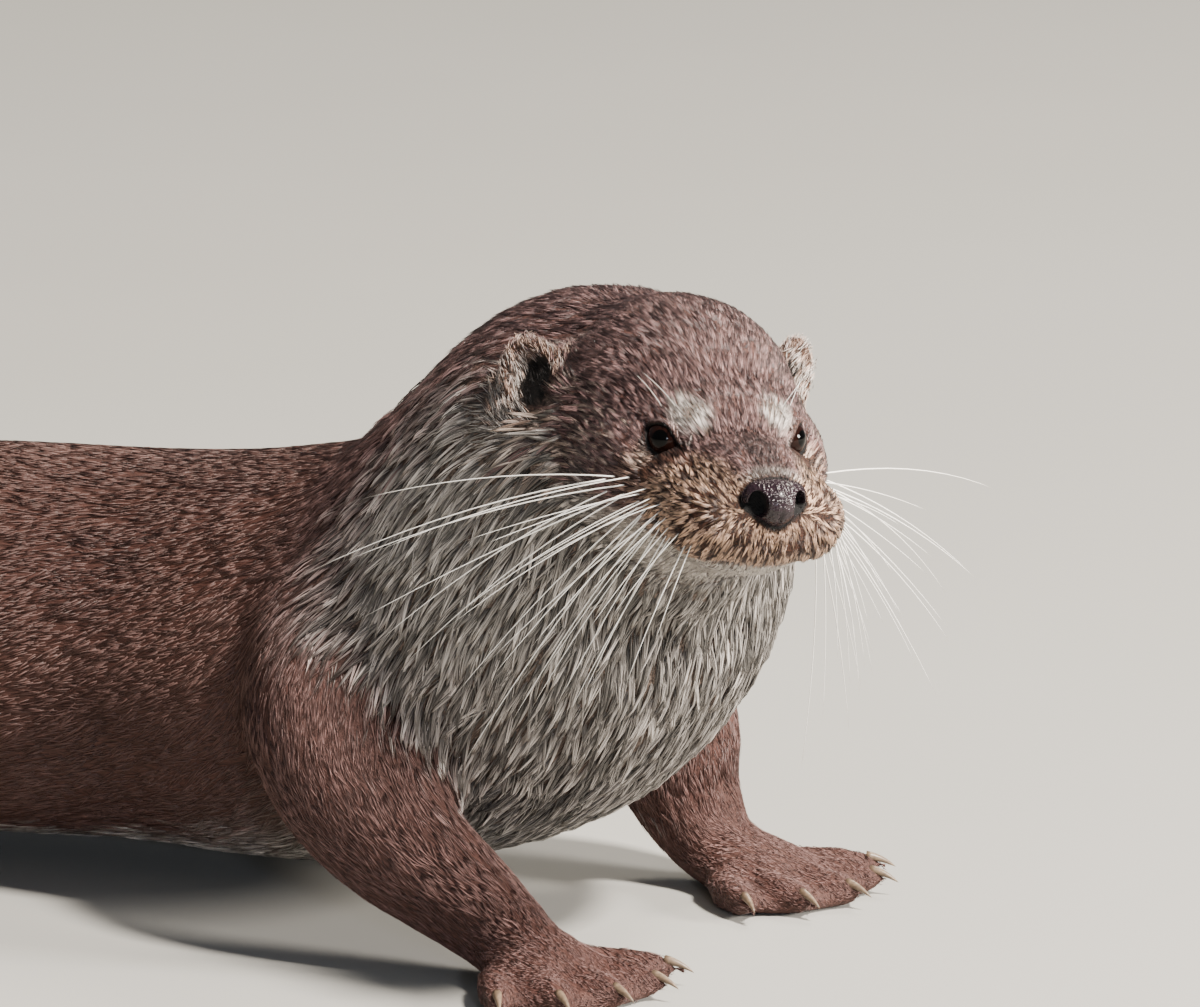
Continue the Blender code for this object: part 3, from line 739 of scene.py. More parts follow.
def plan_coat(at, normals, numbers, marks):
    """At each vertex of the skin: the fur's length, its locks a square millimetre and how tufted it is."""
    q = to_head(at)
    ears, eyes, nose = ear_reach(q), lid_margin(q), nose_reach(q)
    pale, tuft = marks[:, PALE], marks[:, GOLD] * (ears > 1.6) * smooth_step(1.35, 2.2, nose)
    length = numbers[:, BROWN_LONG] * (1 - pale) + numbers[:, PALE_LONG] * pale
    length = length * (1 - tuft) + TUFT_LONG * tuft
    length *= 0.17 + 0.83 * smooth_step(1.15, 2.8, ears)
    length *= 0.35 + 0.65 * smooth_step(6, 60, eyes)
    length *= 0.5 + 0.5 * smooth_step(1.0, 1.8, nose)
    density = 1 / (numbers[:, SPACING] * (1 - tuft) + TUFT_SPACING * tuft) ** 2
    density = density * (1 + 0.6 * smooth_step(2.0, 1.3, nose)) * (1 + 2.4 * smooth_step(2.2, 1.2, ears))
    density = density * (1 + 0.8 * smooth_step(60, 20, eyes))
    sole = (at[:, 2] - ORIGIN.z < 2.2) & (normals[:, 2] < -0.35)
    density[(eyes < 5.0) | (nose < 1.0) | sole] = 0
    density[(marks[:, DARK] > 0.35) & (ears < 1.4)] *= 0.6  # in the bowls of the ears
    return length, density, tuft


def scatter(rng, areas, density):
    """Random places on triangles: the triangle of each, and its shares of the three corners."""
    number = np.floor(areas * density + rng.random(len(areas))).astype(int)
    chosen = np.repeat(np.arange(len(areas)), number)
    r1, r2 = np.sqrt(rng.random(len(chosen))), rng.random(len(chosen))
    return chosen, np.stack([1 - r1, r1 * (1 - r2), r1 * r2], 1)


def on_skin(tree, points):
    """The nearest places on the skin to these points, and the normals there."""
    at, normal = np.empty_like(points), np.empty_like(points)
    for i, point in enumerate(points.tolist()):
        at[i], normal[i], _, _ = tree.find_nearest(point)
    return at, normal


def lay_locks(rng, mesh, found, marks):
    """Locks of fur strewn over the skin: where each starts, bends and ends, and what its fur is like."""
    at, normals = places_of(mesh), normals_of(mesh)
    length, density, tuft = plan_coat(at, normals, found["numbers"], marks)
    tri = triangles_of(mesh)
    p0, p1, p2 = at[tri[:, 0]], at[tri[:, 1]], at[tri[:, 2]]
    areas = np.linalg.norm(np.cross(p1 - p0, p2 - p0), axis=1) / 2
    chosen, shares = scatter(rng, areas, density[tri].min(1))
    corners, count = tri[chosen], len(chosen)

    def carried(values):
        """Values at the skin's vertices, carried to the roots of the locks."""
        rows = values.reshape(len(values), -1)[corners]
        return np.einsum("nk,nkd->nd", shares, rows).reshape(count, *values.shape[1:])

    root, normal, numbers = carried(at), unit(carried(normals)), carried(found["numbers"])
    lie = square_to(carried(lie_of_coat(mesh, at, normals, found)), normal)
    tuft, russet = carried(tuft), carried(marks[:, RUSSET])
    cheek = smooth_step(1.25, 0.7, off(to_head(root), *CHEEK))
    length = carried(length) * rng.uniform(0.75, 1.25, count) * (1 + 0.35 * cheek)
    turn = (rng.normal(0, 0.12, count) + 0.16 * ripple(root, 15, 8))[:, None]
    lie = lie * np.cos(turn) + np.cross(normal, lie) * np.sin(turn)
    tree = BVHTree.FromPolygons(at.tolist(), tri.tolist())
    tip, tip_normal = on_skin(tree, root + lie * length[:, None])
    mid, mid_normal = on_skin(tree, root + lie * (length * 0.5)[:, None])
    long_lock = smooth_step(11, 15, length)
    stand = rng.uniform(0.3, 0.75, count) * (1 - 0.55 * russet)
    stand += tuft * 0.3 + long_lock * rng.uniform(-0.15, 0.12, count)
    strands = np.maximum(1, np.floor(numbers[:, STRANDS] + 3 * tuft + rng.random(count))).astype(int)
    return {
        "root": root,
        "normal": normal,
        "lie": lie,
        "side": np.cross(normal, lie),
        "tip": tip,
        "tip_normal": tip_normal,
        "mid": mid,
        "mid_normal": mid_normal,
        "length": length,
        "height": (numbers[:, DEPTH] + 0.65 * tuft) * stand,
        "width": numbers[:, WIDTH],
        "spread": numbers[:, SPACING] * (0.36 - 0.06 * long_lock) * (1 - tuft) + 0.55 * tuft,
        "strands": strands,
        "long_lock": long_lock,
        "nap": smooth_step(11, 8, length),  # 1 in the short lying fur, 0 in the long locks
        "sleek": russet * (1 - long_lock),  # the back's locks merge into one even coat
        "tuft": tuft,
        "russet": russet,
        "pale": carried(marks[:, PALE]),
        "ears": carried(ear_reach(to_head(at))),
        "cheek": cheek,
        "uneven": 0.32 - 0.25 * russet * (1 - smooth_step(10, 14, length)) + 0.14 * tuft - 0.14 * long_lock,
    }


def grow_strands(rng, locks):
    """The strands of every lock, spread at their roots and gathered towards their tips."""
    rows = np.repeat(np.arange(len(locks["root"])), locks["strands"])
    own = {key: value[rows] for key, value in locks.items()}  # what each strand has from its lock
    count = len(rows)
    lie, tuft, nap, sleek = own["lie"], own["tuft"], own["nap"], own["sleek"]
    from_middle = rng.normal(0, 1, count)
    across = (from_middle * own["spread"] * (0.85 - 0.2 * nap + 0.55 * sleek))[:, None]
    along = rng.normal(0, 1, count) * own["spread"] * (1 + 0.4 * nap * (1 - tuft) + 1.2 * sleek)
    offset = own["side"] * across + lie * along[:, None]
    root = own["root"] + offset
    gather = rng.uniform(0.06, 0.3, count) * (1 - 0.4 * own["long_lock"]) + 0.25 * nap * (1 - tuft)
    gather = gather[:, None]
    height = own["height"] * rng.uniform(0.75, 1.15, count)
    least = rng.uniform(0.2, 0.5, count) * (1 - 0.3 * own["russet"])  # the least that a tip stands clear
    tip_height = np.maximum(height * rng.uniform(0.45, 0.8, count), least)[:, None]
    tip = own["tip"] + np.cross(own["tip_normal"], lie) * across * gather + lie * (along * 0.8)[:, None]
    tip = tip + own["tip_normal"] * tip_height
    mid = own["mid"] + offset * (0.5 + 0.4 * gather)
    mid = mid + own["mid_normal"] * np.maximum(height, 0.25)[:, None]
    width = own["width"] * rng.uniform(0.75, 1.3, count)
    width *= 0.55 + 0.45 * smooth_step(1.2, 2.4, own["ears"])
    width *= 1 + 0.3 * tuft

    streak, shade = shade_locks(rng, locks)
    # Strands at the edges of a lock are darker: painted shade in the partings between locks
    darker = 0.75 * own["uneven"] * np.minimum(from_middle**2, 3) / 2  # at the edges of a lock
    shade = shade[rows] + (rng.normal(0, 1, count) * (0.25 * own["uneven"] + 0.08 * sleek) - darker)
    # Off the face, whole locks take their markings from nearby, so that these mix at their edges
    stray = smooth_step(35, 75, off(to_head(locks["root"]), MUZZLE)) * 3.5
    stray = rng.normal(0, 1, (len(stray), 3)) * stray[:, None]
    marks = markings(root + stray[rows])
    streak = streak[rows] * (own["ears"] > 1.9)
    marks[:, PALE] = np.maximum(marks[:, PALE], 0.8 * streak)
    marks[:, GOLD] = np.maximum(marks[:, GOLD], 0.5 * streak)
    found = survey(root)
    strands = {
        "root": root,
        "normal": own["normal"],
        "mid": mid,
        "mid_normal": own["mid_normal"],
        "tip": tip,
        "width": width,
        "shade": np.clip(shade, 0, 1),
        "marks": marks,
        "long": own["length"] > LONG_LOCK,
        "line": found["line"],
        "place": found["place"],
        "angle": found["angle"],
    }
    over_bowl = (own["ears"] < 2.0) & (markings(tip)[:, DARK] > 0.3) & (marks[:, DARK] < 0.8)
    return {key: value[~over_bowl] for key, value in strands.items()}


def shade_locks(rng, locks):
    """How much of a pale streak each lock is, on the cheeks, and its shade, from 0, dark, to 1, light."""
    count, cheek = len(locks["root"]), locks["cheek"]
    streak = (rng.random(count) < 0.42 * cheek) * rng.uniform(0.5, 1.0, count)
    # Pale fur on the front of the head is lightened: partly its own light colour, partly painted sheen of wet
    # fur, most of all over the eyes
    pale_face_sheen = locks["pale"] * smooth_step(-14, -6, to_head(locks["root"])[:, 0])
    shade = 0.56 + 0.4 * smooth_step(1.5, 1.1, locks["ears"]) + 0.2 * locks["tuft"]
    # Long locks, most of them on the neck, are darker: painted shade, as if the head shaded the neck
    shade = shade - 0.21 * locks["long_lock"] + 0.6 * pale_face_sheen + 0.3 * streak - 0.12 * cheek
    return streak, shade + rng.normal(0, 1, count) * locks["uneven"]


def grow_coat(skin):
    """All the fur, as joined meshes of tapered strands gathered into locks."""
    rng = np.random.default_rng(SEED)
    at = places_of(skin.data)
    found, marks = survey(at), markings(at)
    add_layer(skin.data, "marking", marks)
    add_layer(skin.data, "straight", found["straight"])
    strands = grow_strands(rng, lay_locks(rng, skin.data, found, marks))
    made = []
    for name, lines, first, last in COAT_PIECES:
        mine = np.isin(strands["line"], lines) & (strands["place"] >= first) & (strands["place"] < last)
        made.append(coat_piece(name, {key: value[mine] for key, value in strands.items()}, lines))
    return made


def coat_piece(name, part, lines):
    """One piece of the coat, with a map on which each strand is a small patch at its root's place."""
    place = part["place"]
    part["u"] = (part["angle"] / (2 * math.pi) + 0.5 + (part["line"] - lines[0])) / len(lines)
    part["v"] = (place - place.min()) / (np.ptp(place) + 1e-6)
    groups = []
    start = 0
    for long, form in enumerate(STRAND_FORMS):
        mine = part["long"] == bool(long)
        if not mine.any():
            continue
        some = {key: value[mine] for key, value in part.items()}
        points, triangles = strand_mesh(some, *form)
        rings, count = len(form[1]), len(some["u"])
        along = np.tile([*np.repeat(form[1], 3), 1.0], count)
        aside = np.tile((*(-1, 1, 0) * rings, 0), count)
        repeated = [np.repeat(some[key], rings * 3 + 1, axis=0) for key in ("marks", "shade", "u", "v")]
        marks, shade, u, v = repeated
        u = u * MAP_SHARE + MAP_START[0] + aside * PATCH_WIDE
        v = v * MAP_SHARE + MAP_START[1] + along * PATCH_LONG
        strand = np.stack([shade, along, shade], 1)
        groups.append((points, triangles + start, marks, strand, np.stack([u, v], 1)[triangles.ravel()]))
        start += len(points)
    points, triangles, marks, strand, corners = [np.concatenate(arrays) for arrays in zip(*groups)]
    obj = triangle_mesh(name, points, triangles)
    add_layer(obj.data, "marking", marks)
    add_layer(obj.data, "strand", strand)
    layer = obj.data.uv_layers.new(name="OFBake", do_init=False)
    layer.uv.foreach_set("vector", corners.astype(np.float32).ravel())
    return obj


def strand_mesh(part, root_depth, shares, widths):
    """Three-sided tapered strands that have the same number of rings: their points and triangles."""
    rings = len(shares)
    root, tip = part["root"] - part["normal"] * root_depth, part["tip"]
    bend = part["mid"] * 2 - (root + tip) * 0.5
    stations = [root * (1 - t) ** 2 + bend * 2 * t * (1 - t) + tip * t * t for t in (*shares, 1.0)]
    points = np.empty((len(root), rings * 3 + 1, 3))
    faces = [(0, 2, 1)]
    for ring, share in enumerate(shares):
        up = part["normal"] * (1 - share) + part["mid_normal"] * share
        ahead = unit(stations[ring + 1] - stations[ring])
        across = unit(np.cross(up, ahead))
        width = (part["width"] * widths[ring])[:, None]
        low = ring * 3
        points[:, low] = stations[ring] - across * width * 0.5
        points[:, low + 1] = stations[ring] + across * width * 0.5
        points[:, low + 2] = stations[ring] + np.cross(ahead, across) * width * STRAND_THICK
        for a, b in ((low, low + 1), (low + 1, low + 2), (low + 2, low)):
            faces += [(a, b, b + 3), (a, b + 3, a + 3)] if ring < rings - 1 else [(a, b, rings * 3)]
    points[:, -1] = tip
    points[:, :, 2] = np.maximum(points[:, :, 2], ORIGIN.z + COAT_CLEAR)
    triangles = np.array(faces)[None] + (np.arange(len(root)) * (rings * 3 + 1))[:, None, None]
    return points.reshape(-1, 3), triangles.reshape(-1, 3)


# ---- Finishes ----

# The coat's colours, each from its darker hairs to its lighter ones
COAT_COLOURS = {
    "brown": ("#473434", "#bd9894"),
    "russet": ("#4d362f", "#74524a"),
    "pale": ("#625f5b", "#f4ece4"),
    "gold": ("#33201a", "#f8d0b2"),
}
# Near-black for the dark marks: dark hair on the lids, the bridge and round the nose, and painted shade in
# the ears' bowls
DARK_HAIR_AND_SHADE = "#0a0707"
STREAK_LONG, STREAK_WIDE = 4.0, 0.5  # a streak in the underfur
FLECKS = 2.2  # patches of more and less gloss in the coat
PEBBLE = 0.9  # the grain of the nose's leather
IRIS_EDGE, PUPIL_EDGE = (4.2, 5.0), (2.5, 2.2)  # where each fades, from the middle of the eye
SOFT = {"Detail": 3.0, "Roughness": 0.55}  # of a noise texture
SHARE, FIRST, SECOND, MIXED = 0, 6, 7, 2  # a Mix node's inputs and output for colours


def linear(colour):
    """An sRGB hex colour as the linear values that a shader takes."""
    values = [int(colour[i : i + 2], 16) / 255 for i in (1, 3, 5)]
    return (*[v / 12.92 if v <= 0.04045 else ((v + 0.055) / 1.055) ** 2.4 for v in values], 1.0)


def feed(tree, node, inputs):
    """Gives a node's inputs a number, a hex colour or another node's output each."""
    for key, value in inputs.items():
        if isinstance(value, bpy.types.NodeSocket):
            tree.links.new(value, node.inputs[key])
        else:
            node.inputs[key].default_value = linear(value) if isinstance(value, str) else value


def add_node(tree, kind, inputs=(), **settings):
    """Adds a node with its settings and its inputs, by name or number or in order. Returns its outputs."""
    node = tree.nodes.new("ShaderNode" + kind)
    for name, value in settings.items():
        setattr(node, name, value)
    feed(tree, node, inputs if isinstance(inputs, dict) else dict(enumerate(inputs)))
    return node.outputs


def new_material(name):
    material = bpy.data.materials.new(name)
    material.use_nodes = True
    return material, material.node_tree, material.node_tree.nodes["Principled BSDF"]


def marked_colour(tree, shade):
    """The animal's colours from its markings, each between a darker and a lighter one by shade."""
    marking = add_node(tree, "Attribute", attribute_name="marking")
    pale, gold, dark = add_node(tree, "SeparateXYZ", (marking["Color"],))
    tones = []
    for deep, light in COAT_COLOURS.values():
        inputs = {SHARE: shade, FIRST: deep, SECOND: light}
        tones.append(add_node(tree, "Mix", inputs, data_type="RGBA")[MIXED])
    colour, *others = *tones, DARK_HAIR_AND_SHADE
    for share, other in zip((marking["Alpha"], pale, gold, dark), others):
        inputs = {SHARE: share, FIRST: colour, SECOND: other}
        colour = add_node(tree, "Mix", inputs, data_type="RGBA")[MIXED]
    return colour


def darkened(tree, colour, amount, share, deep, light):
    """A colour multiplied by an amount of a tint, which share takes from deep to light."""
    tint = add_node(tree, "Mix", {SHARE: share, FIRST: deep, SECOND: light}, data_type="RGBA")[MIXED]
    inputs = {SHARE: amount, FIRST: colour, SECOND: tint}
    return add_node(tree, "Mix", inputs, data_type="RGBA", blend_type="MULTIPLY")[MIXED]


def fur_finish():
    """Guard hair, damp: soft gloss along each strand, darker at its root and paler at its tip, the darkness
    at the root partly the hair's own and partly painted shade deep in the coat.
    """
    material, tree, shader = new_material("guard hair, damp")
    strand = add_node(tree, "Attribute", attribute_name="strand")["Vector"]
    own, along, _ = add_node(tree, "SeparateXYZ", (strand,))
    place = add_node(tree, "TexCoord")["Object"]
    flecks = add_node(tree, "TexNoise", {"Vector": place, "Scale": 1 / (FLECKS * MM), **SOFT})["Fac"]
    # On the russet back, strands are nearly one shade from root to tip
    russet = add_node(tree, "Attribute", attribute_name="marking")["Alpha"]
    even = add_node(tree, "MapRange", (russet, 0.0, 1.0, 0.0, 0.72))[0]
    # Towards its root each strand is darker, here and again by a tint below: partly the hair's own colour,
    # partly painted shade deep in the coat
    grown = add_node(tree, "MapRange", (along, 0.0, 0.55, 0.25, 1.0))[0]
    grown = add_node(tree, "Math", (grown, even), operation="MAXIMUM")[0]
    own = add_node(tree, "MapRange", (own, 0.1, 0.9, 0.0, 1.1))[0]
    shade = add_node(tree, "Math", (grown, own), operation="MULTIPLY")[0]
    root_shade_share = add_node(tree, "MapRange", (along, 0.0, 0.5, 0.35, 1.0))[0]
    root_shade_share = add_node(tree, "Math", (root_shade_share, even), operation="MAXIMUM")[0]
    colour = darkened(tree, marked_colour(tree, shade), 1.0, root_shade_share, "#5a4a42", "#ffffff")
    colour = darkened(tree, colour, 0.35, flecks, "#7a6a62", "#ffffff")
    rough = add_node(tree, "MapRange", (flecks, 0.3, 0.7, 0.34, 0.56))[0]
    rougher = add_node(tree, "MapRange", (russet, 0.0, 1.0, 0.0, 0.12))[0]
    rough = add_node(tree, "Math", (rough, rougher), operation="ADD")[0]
    feed(tree, shader, {"Base Color": colour, "Roughness": rough, "IOR": 1.55, "Specular IOR Level": 0.3})
    return material


def skin_finish():
    """Close underfur on the skin: the coat's markings in fine streaks, dark between the hairs, partly the
    underfur's own darker colour and partly painted shade under the coat.
    """
    material, tree, shader = new_material("underfur, damp")
    straight = add_node(tree, "Attribute", attribute_name="straight")["Vector"]
    stretch = (1 / STREAK_LONG, 1 / STREAK_WIDE, 1 / STREAK_WIDE)
    drawn = add_node(tree, "VectorMath", (straight, stretch), operation="MULTIPLY")[0]
    inputs = {"Vector": drawn, "Scale": 1.0, "Detail": 3.0, "Roughness": 0.6}
    streaks = add_node(tree, "TexNoise", inputs)["Fac"]
    # The underfur never reaches the coat's lightest colours and is multiplied darker, least on the russet
    # back: partly its own colour, partly painted shade in the gaps between the hairs
    colour = marked_colour(tree, add_node(tree, "MapRange", (streaks, 0.35, 0.7, 0.0, 0.75))[0])
    marking = add_node(tree, "Attribute", attribute_name="marking")
    deep, close = [
        add_node(tree, "Mix", {SHARE: streaks, FIRST: dark, SECOND: light}, data_type="RGBA")[MIXED]
        for dark, light in (("#3c302b", "#b8a69c"), ("#8e7d75", "#d6cac4"))
    ]
    colour = darkened(tree, colour, 1.0, marking["Alpha"], deep, close)
    # Darker still under the golden pads: painted shade in the gaps between the tufts, partly their darker
    # underfur
    gold = add_node(tree, "SeparateXYZ", (marking["Color"],))[GOLD]
    colour = darkened(tree, colour, 1.0, gold, "#ffffff", "#8a7468")
    bump = add_node(tree, "Bump", {"Height": streaks, "Strength": 0.9, "Distance": 0.0005})[0]
    feed(tree, shader, {"Base Color": colour, "Roughness": 0.6, "Specular IOR Level": 0.2, "Normal": bump})
    return material


def nose_finish():
    """Bare nose leather, wet: near-black plum with a fine pebble and a sharp wet gloss."""
    material, tree, shader = new_material("nose leather, wet")
    place = add_node(tree, "TexCoord")["Object"]
    inputs = {"Vector": place, "Scale": 1 / (PEBBLE * MM), "Randomness": 0.9}
    pebble = add_node(tree, "TexVoronoi", inputs)["Distance"]
    lumps = add_node(tree, "TexNoise", {"Vector": place, "Scale": 1 / (3.0 * MM), **SOFT})["Fac"]
    nostril = add_node(tree, "Attribute", attribute_name="nostril")["Fac"]
    # Inside the nostrils the leather is near-black: painted shade in their hollows
    colour = "#0e090b"
    for share, other in ((lumps, "#281a21"), (nostril, "#030202")):
        colour = add_node(tree, "Mix", {SHARE: share, FIRST: colour, SECOND: other}, data_type="RGBA")[MIXED]
    rough = add_node(tree, "MapRange", (nostril, 0.0, 1.0, 0.22, 0.9))[0]
    height = add_node(tree, "MapRange", (pebble, 0.0, 0.6, 1.0, 0.0))[0]
    bump = add_node(tree, "Bump", {"Height": height, "Strength": 0.9, "Distance": 0.0003})[0]
    feed(tree, shader, {"Base Color": colour, "Roughness": rough, "IOR": 1.42, "Normal": bump})
    return material


def eye_finish():
    """Cornea over a dark umber iris: black in the pupil, and very glossy."""
    material, tree, shader = new_material("cornea over dark iris")
    rings = add_node(tree, "Attribute", attribute_name="iris")["Vector"]
    ring = add_node(tree, "SeparateXYZ", (rings,))[0]
    place = add_node(tree, "TexCoord")["Object"]
    fibres = add_node(tree, "TexNoise", {"Vector": place, "Scale": 1 / (0.7 * MM), **SOFT})["Fac"]
    edge, pupil = [
        add_node(tree, "MapRange", (ring, *where, 0.0, 1.0))[0] for where in (IRIS_EDGE, PUPIL_EDGE)
    ]
    colour = "#0c0605"
    for share, other in ((fibres, "#1f0e0a"), (edge, "#070404"), (pupil, "#020202")):
        colour = add_node(tree, "Mix", {SHARE: share, FIRST: colour, SECOND: other}, data_type="RGBA")[MIXED]
    feed(tree, shader, {"Base Color": colour, "Roughness": 0.06, "IOR": 1.38, "Specular IOR Level": 0.2})
    return material


def mottled_finish(name, grain, first, second, roughness, ior):
    """A finish in two shades, which drift into each other over a grain of so many millimetres."""
    material, tree, shader = new_material(name)
    place = add_node(tree, "TexCoord")["Object"]
    drift = add_node(tree, "TexNoise", {"Vector": place, "Scale": 1 / (grain * MM), **SOFT})["Fac"]
    colour = add_node(tree, "Mix", {SHARE: drift, FIRST: first, SECOND: second}, data_type="RGBA")[MIXED]
    feed(tree, shader, {"Base Color": colour, "Roughness": roughness, "IOR": ior})
    return material


# ---- Eyes, nose, claws and whiskers ----

CORNEA_WIDE, CORNEA_BULGE = 5.2, 0.45
# The nose pad's middle on the head and its half sizes. Each nostril is a round hole with a slit that trails
# outwards from it: the middle of each on the pad, and its half sizes
PAD_MIDDLE, PAD_SIZE = (40.2, 0, -9.6), (6.8, 9.4, 6.6)
NOSTRIL_HOLE = ((4.2, 6.2, 0.2), (4.4, 2.8, 4.3))
NOSTRIL_SLIT = ((2.6, 8.4, -1.8), (4.2, 2.2, 2.3))
NOSTRIL_DEEP = 5.4
CLAW_LONG, CLAW_RADIUS = 8.6, 1.45
# Rows of whiskers on each pad, from the top: how many, where they start and end along the head, how high
# they are and how steeply they point down, in degrees
WHISKER_ROWS = (
    (3, 14, -9, -13.0, 2),
    (5, 21, -11, -15.5, 14),
    (6, 27, -9, -18.0, 28),
    (7, 33, -5, -20.5, 44),
    (8, 37, 2, -23.0, 60),
)
WHISKER_LONGEST = 96


def make_eye(side, name):
    """An eyeball with a slightly bulging cornea, turned to look out through its lids."""
    gaze, centre = eye_axes()[0] * (1, side, 1), from_head([EYE_CENTRE * (1, side, 1)])[0]
    bpy.ops.object.select_all(action="DESELECT")
    bpy.ops.mesh.primitive_uv_sphere_add(segments=48, ring_count=32, radius=EYE_RADIUS)
    eye = bpy.context.object
    eye.name = name
    points = places_of(eye.data)
    off_axis = np.hypot(points[:, 0], points[:, 1])
    points[:, 2] += smooth_step(CORNEA_WIDE, 0, off_axis) * (points[:, 2] > 0) * CORNEA_BULGE
    rings = np.where(points[:, 2] > 0, off_axis, EYE_RADIUS)
    add_layer(eye.data, "iris", np.stack([rings] * 3, 1))
    turn = Vector(TURN_ROWS @ gaze).to_track_quat("Z", "Y").to_matrix()
    place_all(eye.data, to_row(points @ np.array(turn).T + centre))
    bpy.ops.object.shade_smooth()
    return eye


def make_nose():
    """The bare pad of the nose, wide at its nostrils and drawn to a cleft below."""
    bpy.ops.object.select_all(action="DESELECT")
    bpy.ops.mesh.primitive_ico_sphere_add(subdivisions=6, radius=1)
    nose = bpy.context.object
    nose.name = "nose_pad"
    x, y, z = places_of(nose.data).T
    q = places_of(nose.data) * PAD_SIZE
    q[:, 1] *= 1 - 0.45 * smooth_step(0.0, -1.0, z)
    q[:, 2] += 1.2 * smooth_step(0.2, 0.9, np.abs(y)) * (z > -0.3)
    q[:, 0] -= 1.6 * y * y * (x > 0)
    q[:, 0] += 0.5 * np.exp(-((y / 0.35) ** 2)) * (x > 0) * (z > -0.2)
    q[:, 0] -= 0.7 * (np.exp(-((q[:, 1] / 0.5) ** 2)) * smooth_step(0.1, -0.4, z) * (x > 0))
    hole, slit = off(q, *NOSTRIL_HOLE), off(q, *NOSTRIL_SLIT)
    dip = np.maximum(smooth_step(1.0, 0.65, hole), smooth_step(1.0, 0.55, slit))
    q = q - side_of(q) * (0.9, 0.25, 0.0) * (NOSTRIL_DEEP * dip)[:, None]
    # The nostrils' hollows, which the nose's finish paints near-black as shade and makes rough
    add_layer(nose.data, "nostril", np.stack([smooth_step(0.25, 0.75, dip)] * 3, 1))
    place_all(nose.data, to_row(from_head(q + PAD_MIDDLE)))
    bpy.ops.object.shade_smooth()
    return nose


def tube(path, radii, sides):
    """Points and faces of a round tapered tube along a path, closed to a point at its end."""
    ways = unit(np.gradient(path, axis=0))
    across = unit(np.cross(ways, (0.31, 0.17, 0.93)))
    over = np.cross(ways, across)
    rings = len(path) - 1
    points, faces = [], []
    for i in range(rings):
        for k in range(sides):
            turn = 2 * math.pi * k / sides
            points.append(path[i] + (across[i] * math.cos(turn) + over[i] * math.sin(turn)) * radii[i])
            a, b = i * sides + k, i * sides + (k + 1) % sides
            faces.append((a, b, b + sides, a + sides) if i < rings - 1 else (a, b, rings * sides))
    return [*points, path[-1]], [*faces, tuple(reversed(range(sides)))]


def joined_tubes(name, tubes):
    points, faces = [], []
    for some_points, some_faces in tubes:
        start = len(points)
        points.extend(some_points)
        faces.extend(tuple(i + start for i in face) for face in some_faces)
    mesh = bpy.data.meshes.new(name)
    mesh.from_pydata(to_row(points).tolist(), [], faces)
    return add_object(name, mesh)


def toe_tips(foot):
    """The tip of each toe, and the way that it points."""
    (x, y), heading, length, width = FEET[foot]
    side = np.array((-math.sin(heading), math.cos(heading), 0))
    wrist = np.array((x, y, TOE_RADIUS))
    for toe in range(TOES):
        across = toe - (TOES - 1) / 2
        reach = length * (1 - 0.045 * across * across)
        turn = heading + across * 0.25 * width / length
        ahead = np.array((math.cos(turn), math.sin(turn), 0))
        root = wrist + ahead * reach * 0.5 + side * across * width * 0.09
        tip = wrist + ahead * (reach - TOE_RADIUS) + side * across * width * 0.12
        yield tip, unit(tip - root)


def make_claws():
    tubes = []
    share = np.linspace(0, 1, 7)
    steps = share[:, None]
    for foot in FEET:
        for tip, ahead in toe_tips(foot):
            rise = np.array((0, 0, 1)) * (2.4 - 0.6 * steps - 2.6 * steps**2)
            path = tip + ahead * (steps * CLAW_LONG - 0.4) + rise
            tubes.append(tube(path, CLAW_RADIUS * (1 - share) ** 0.7, 8))
    return joined_tubes("claws", tubes)


def make_whiskers(tree):
    """Rows of bristles on the pads, long behind and short along the lip, and a few above the eyes."""
    rng = np.random.default_rng(SEED + 1)
    tubes = []
    for side in (1, -1):
        for count, first, last, height, fall_by in WHISKER_ROWS:
            for i in range(count):
                share = (i + 0.5) / count + rng.uniform(-0.25, 0.25) / count
                x = first + (last - first) * share + rng.uniform(-0.6, 0.6)
                z = height + 2.5 * share + rng.uniform(-0.7, 0.7)
                longest = WHISKER_LONGEST * (0.24 + 0.76 * share**0.8) * rng.uniform(0.78, 1.08)
                down = math.radians(fall_by + 14 * (1 - share) + rng.uniform(-7, 7))
                back = -0.10 - 0.55 * share + rng.uniform(-0.12, 0.12)
                way = unit(np.array((back, side * math.cos(down), -math.sin(down))))
                fall = np.array((-0.2, -0.1 * side, -0.42)) * rng.uniform(0.4, 1.2)
                root = nearest_pad(tree, x, side, z)
                tubes.append(bristle(root, way, fall, longest, 0.10 + 0.0014 * longest))
        for i in range(2):
            root = nearest_pad(tree, -3 + i * 3.0, side, 8 + i * 0.6, 14)
            way = unit(np.array((-0.3 + 0.2 * i, side * (0.4 + 0.15 * i), 0.75)))
            tubes.append(bristle(root, way, np.array((-0.7, side * 0.2, -0.3)), 12 + 2 * i, 0.03))
    return joined_tubes("whiskers", tubes)


def nearest_pad(tree, x, side, z, y=22):
    """The place on the skin straight in from the side of the head, or at y where there is none."""
    start = from_head([(x, side * 60, z)])[0]
    way = TURN_ROWS @ np.array((0, -side, 0))
    place, _, _, _ = tree.ray_cast(Vector(start), Vector(way), 59)
    if place is None:
        place = Vector(from_head([(x, side * y, z)])[0])
    return to_head(np.array([place]))[0]


def bristle(root, way, fall, reach, radius):
    share = np.linspace(0, 1, 10)
    steps = share[:, None]
    path = root - way * 1.0 + way * steps * reach + fall * (steps**2) * reach * 0.42
    return tube(from_head(path), radius * (1 - share) ** 0.75 + 0.03, 5)


# ---- Setting ----

ELEVATION = math.radians(12)
CAMERA_DISTANCE = 3500.0
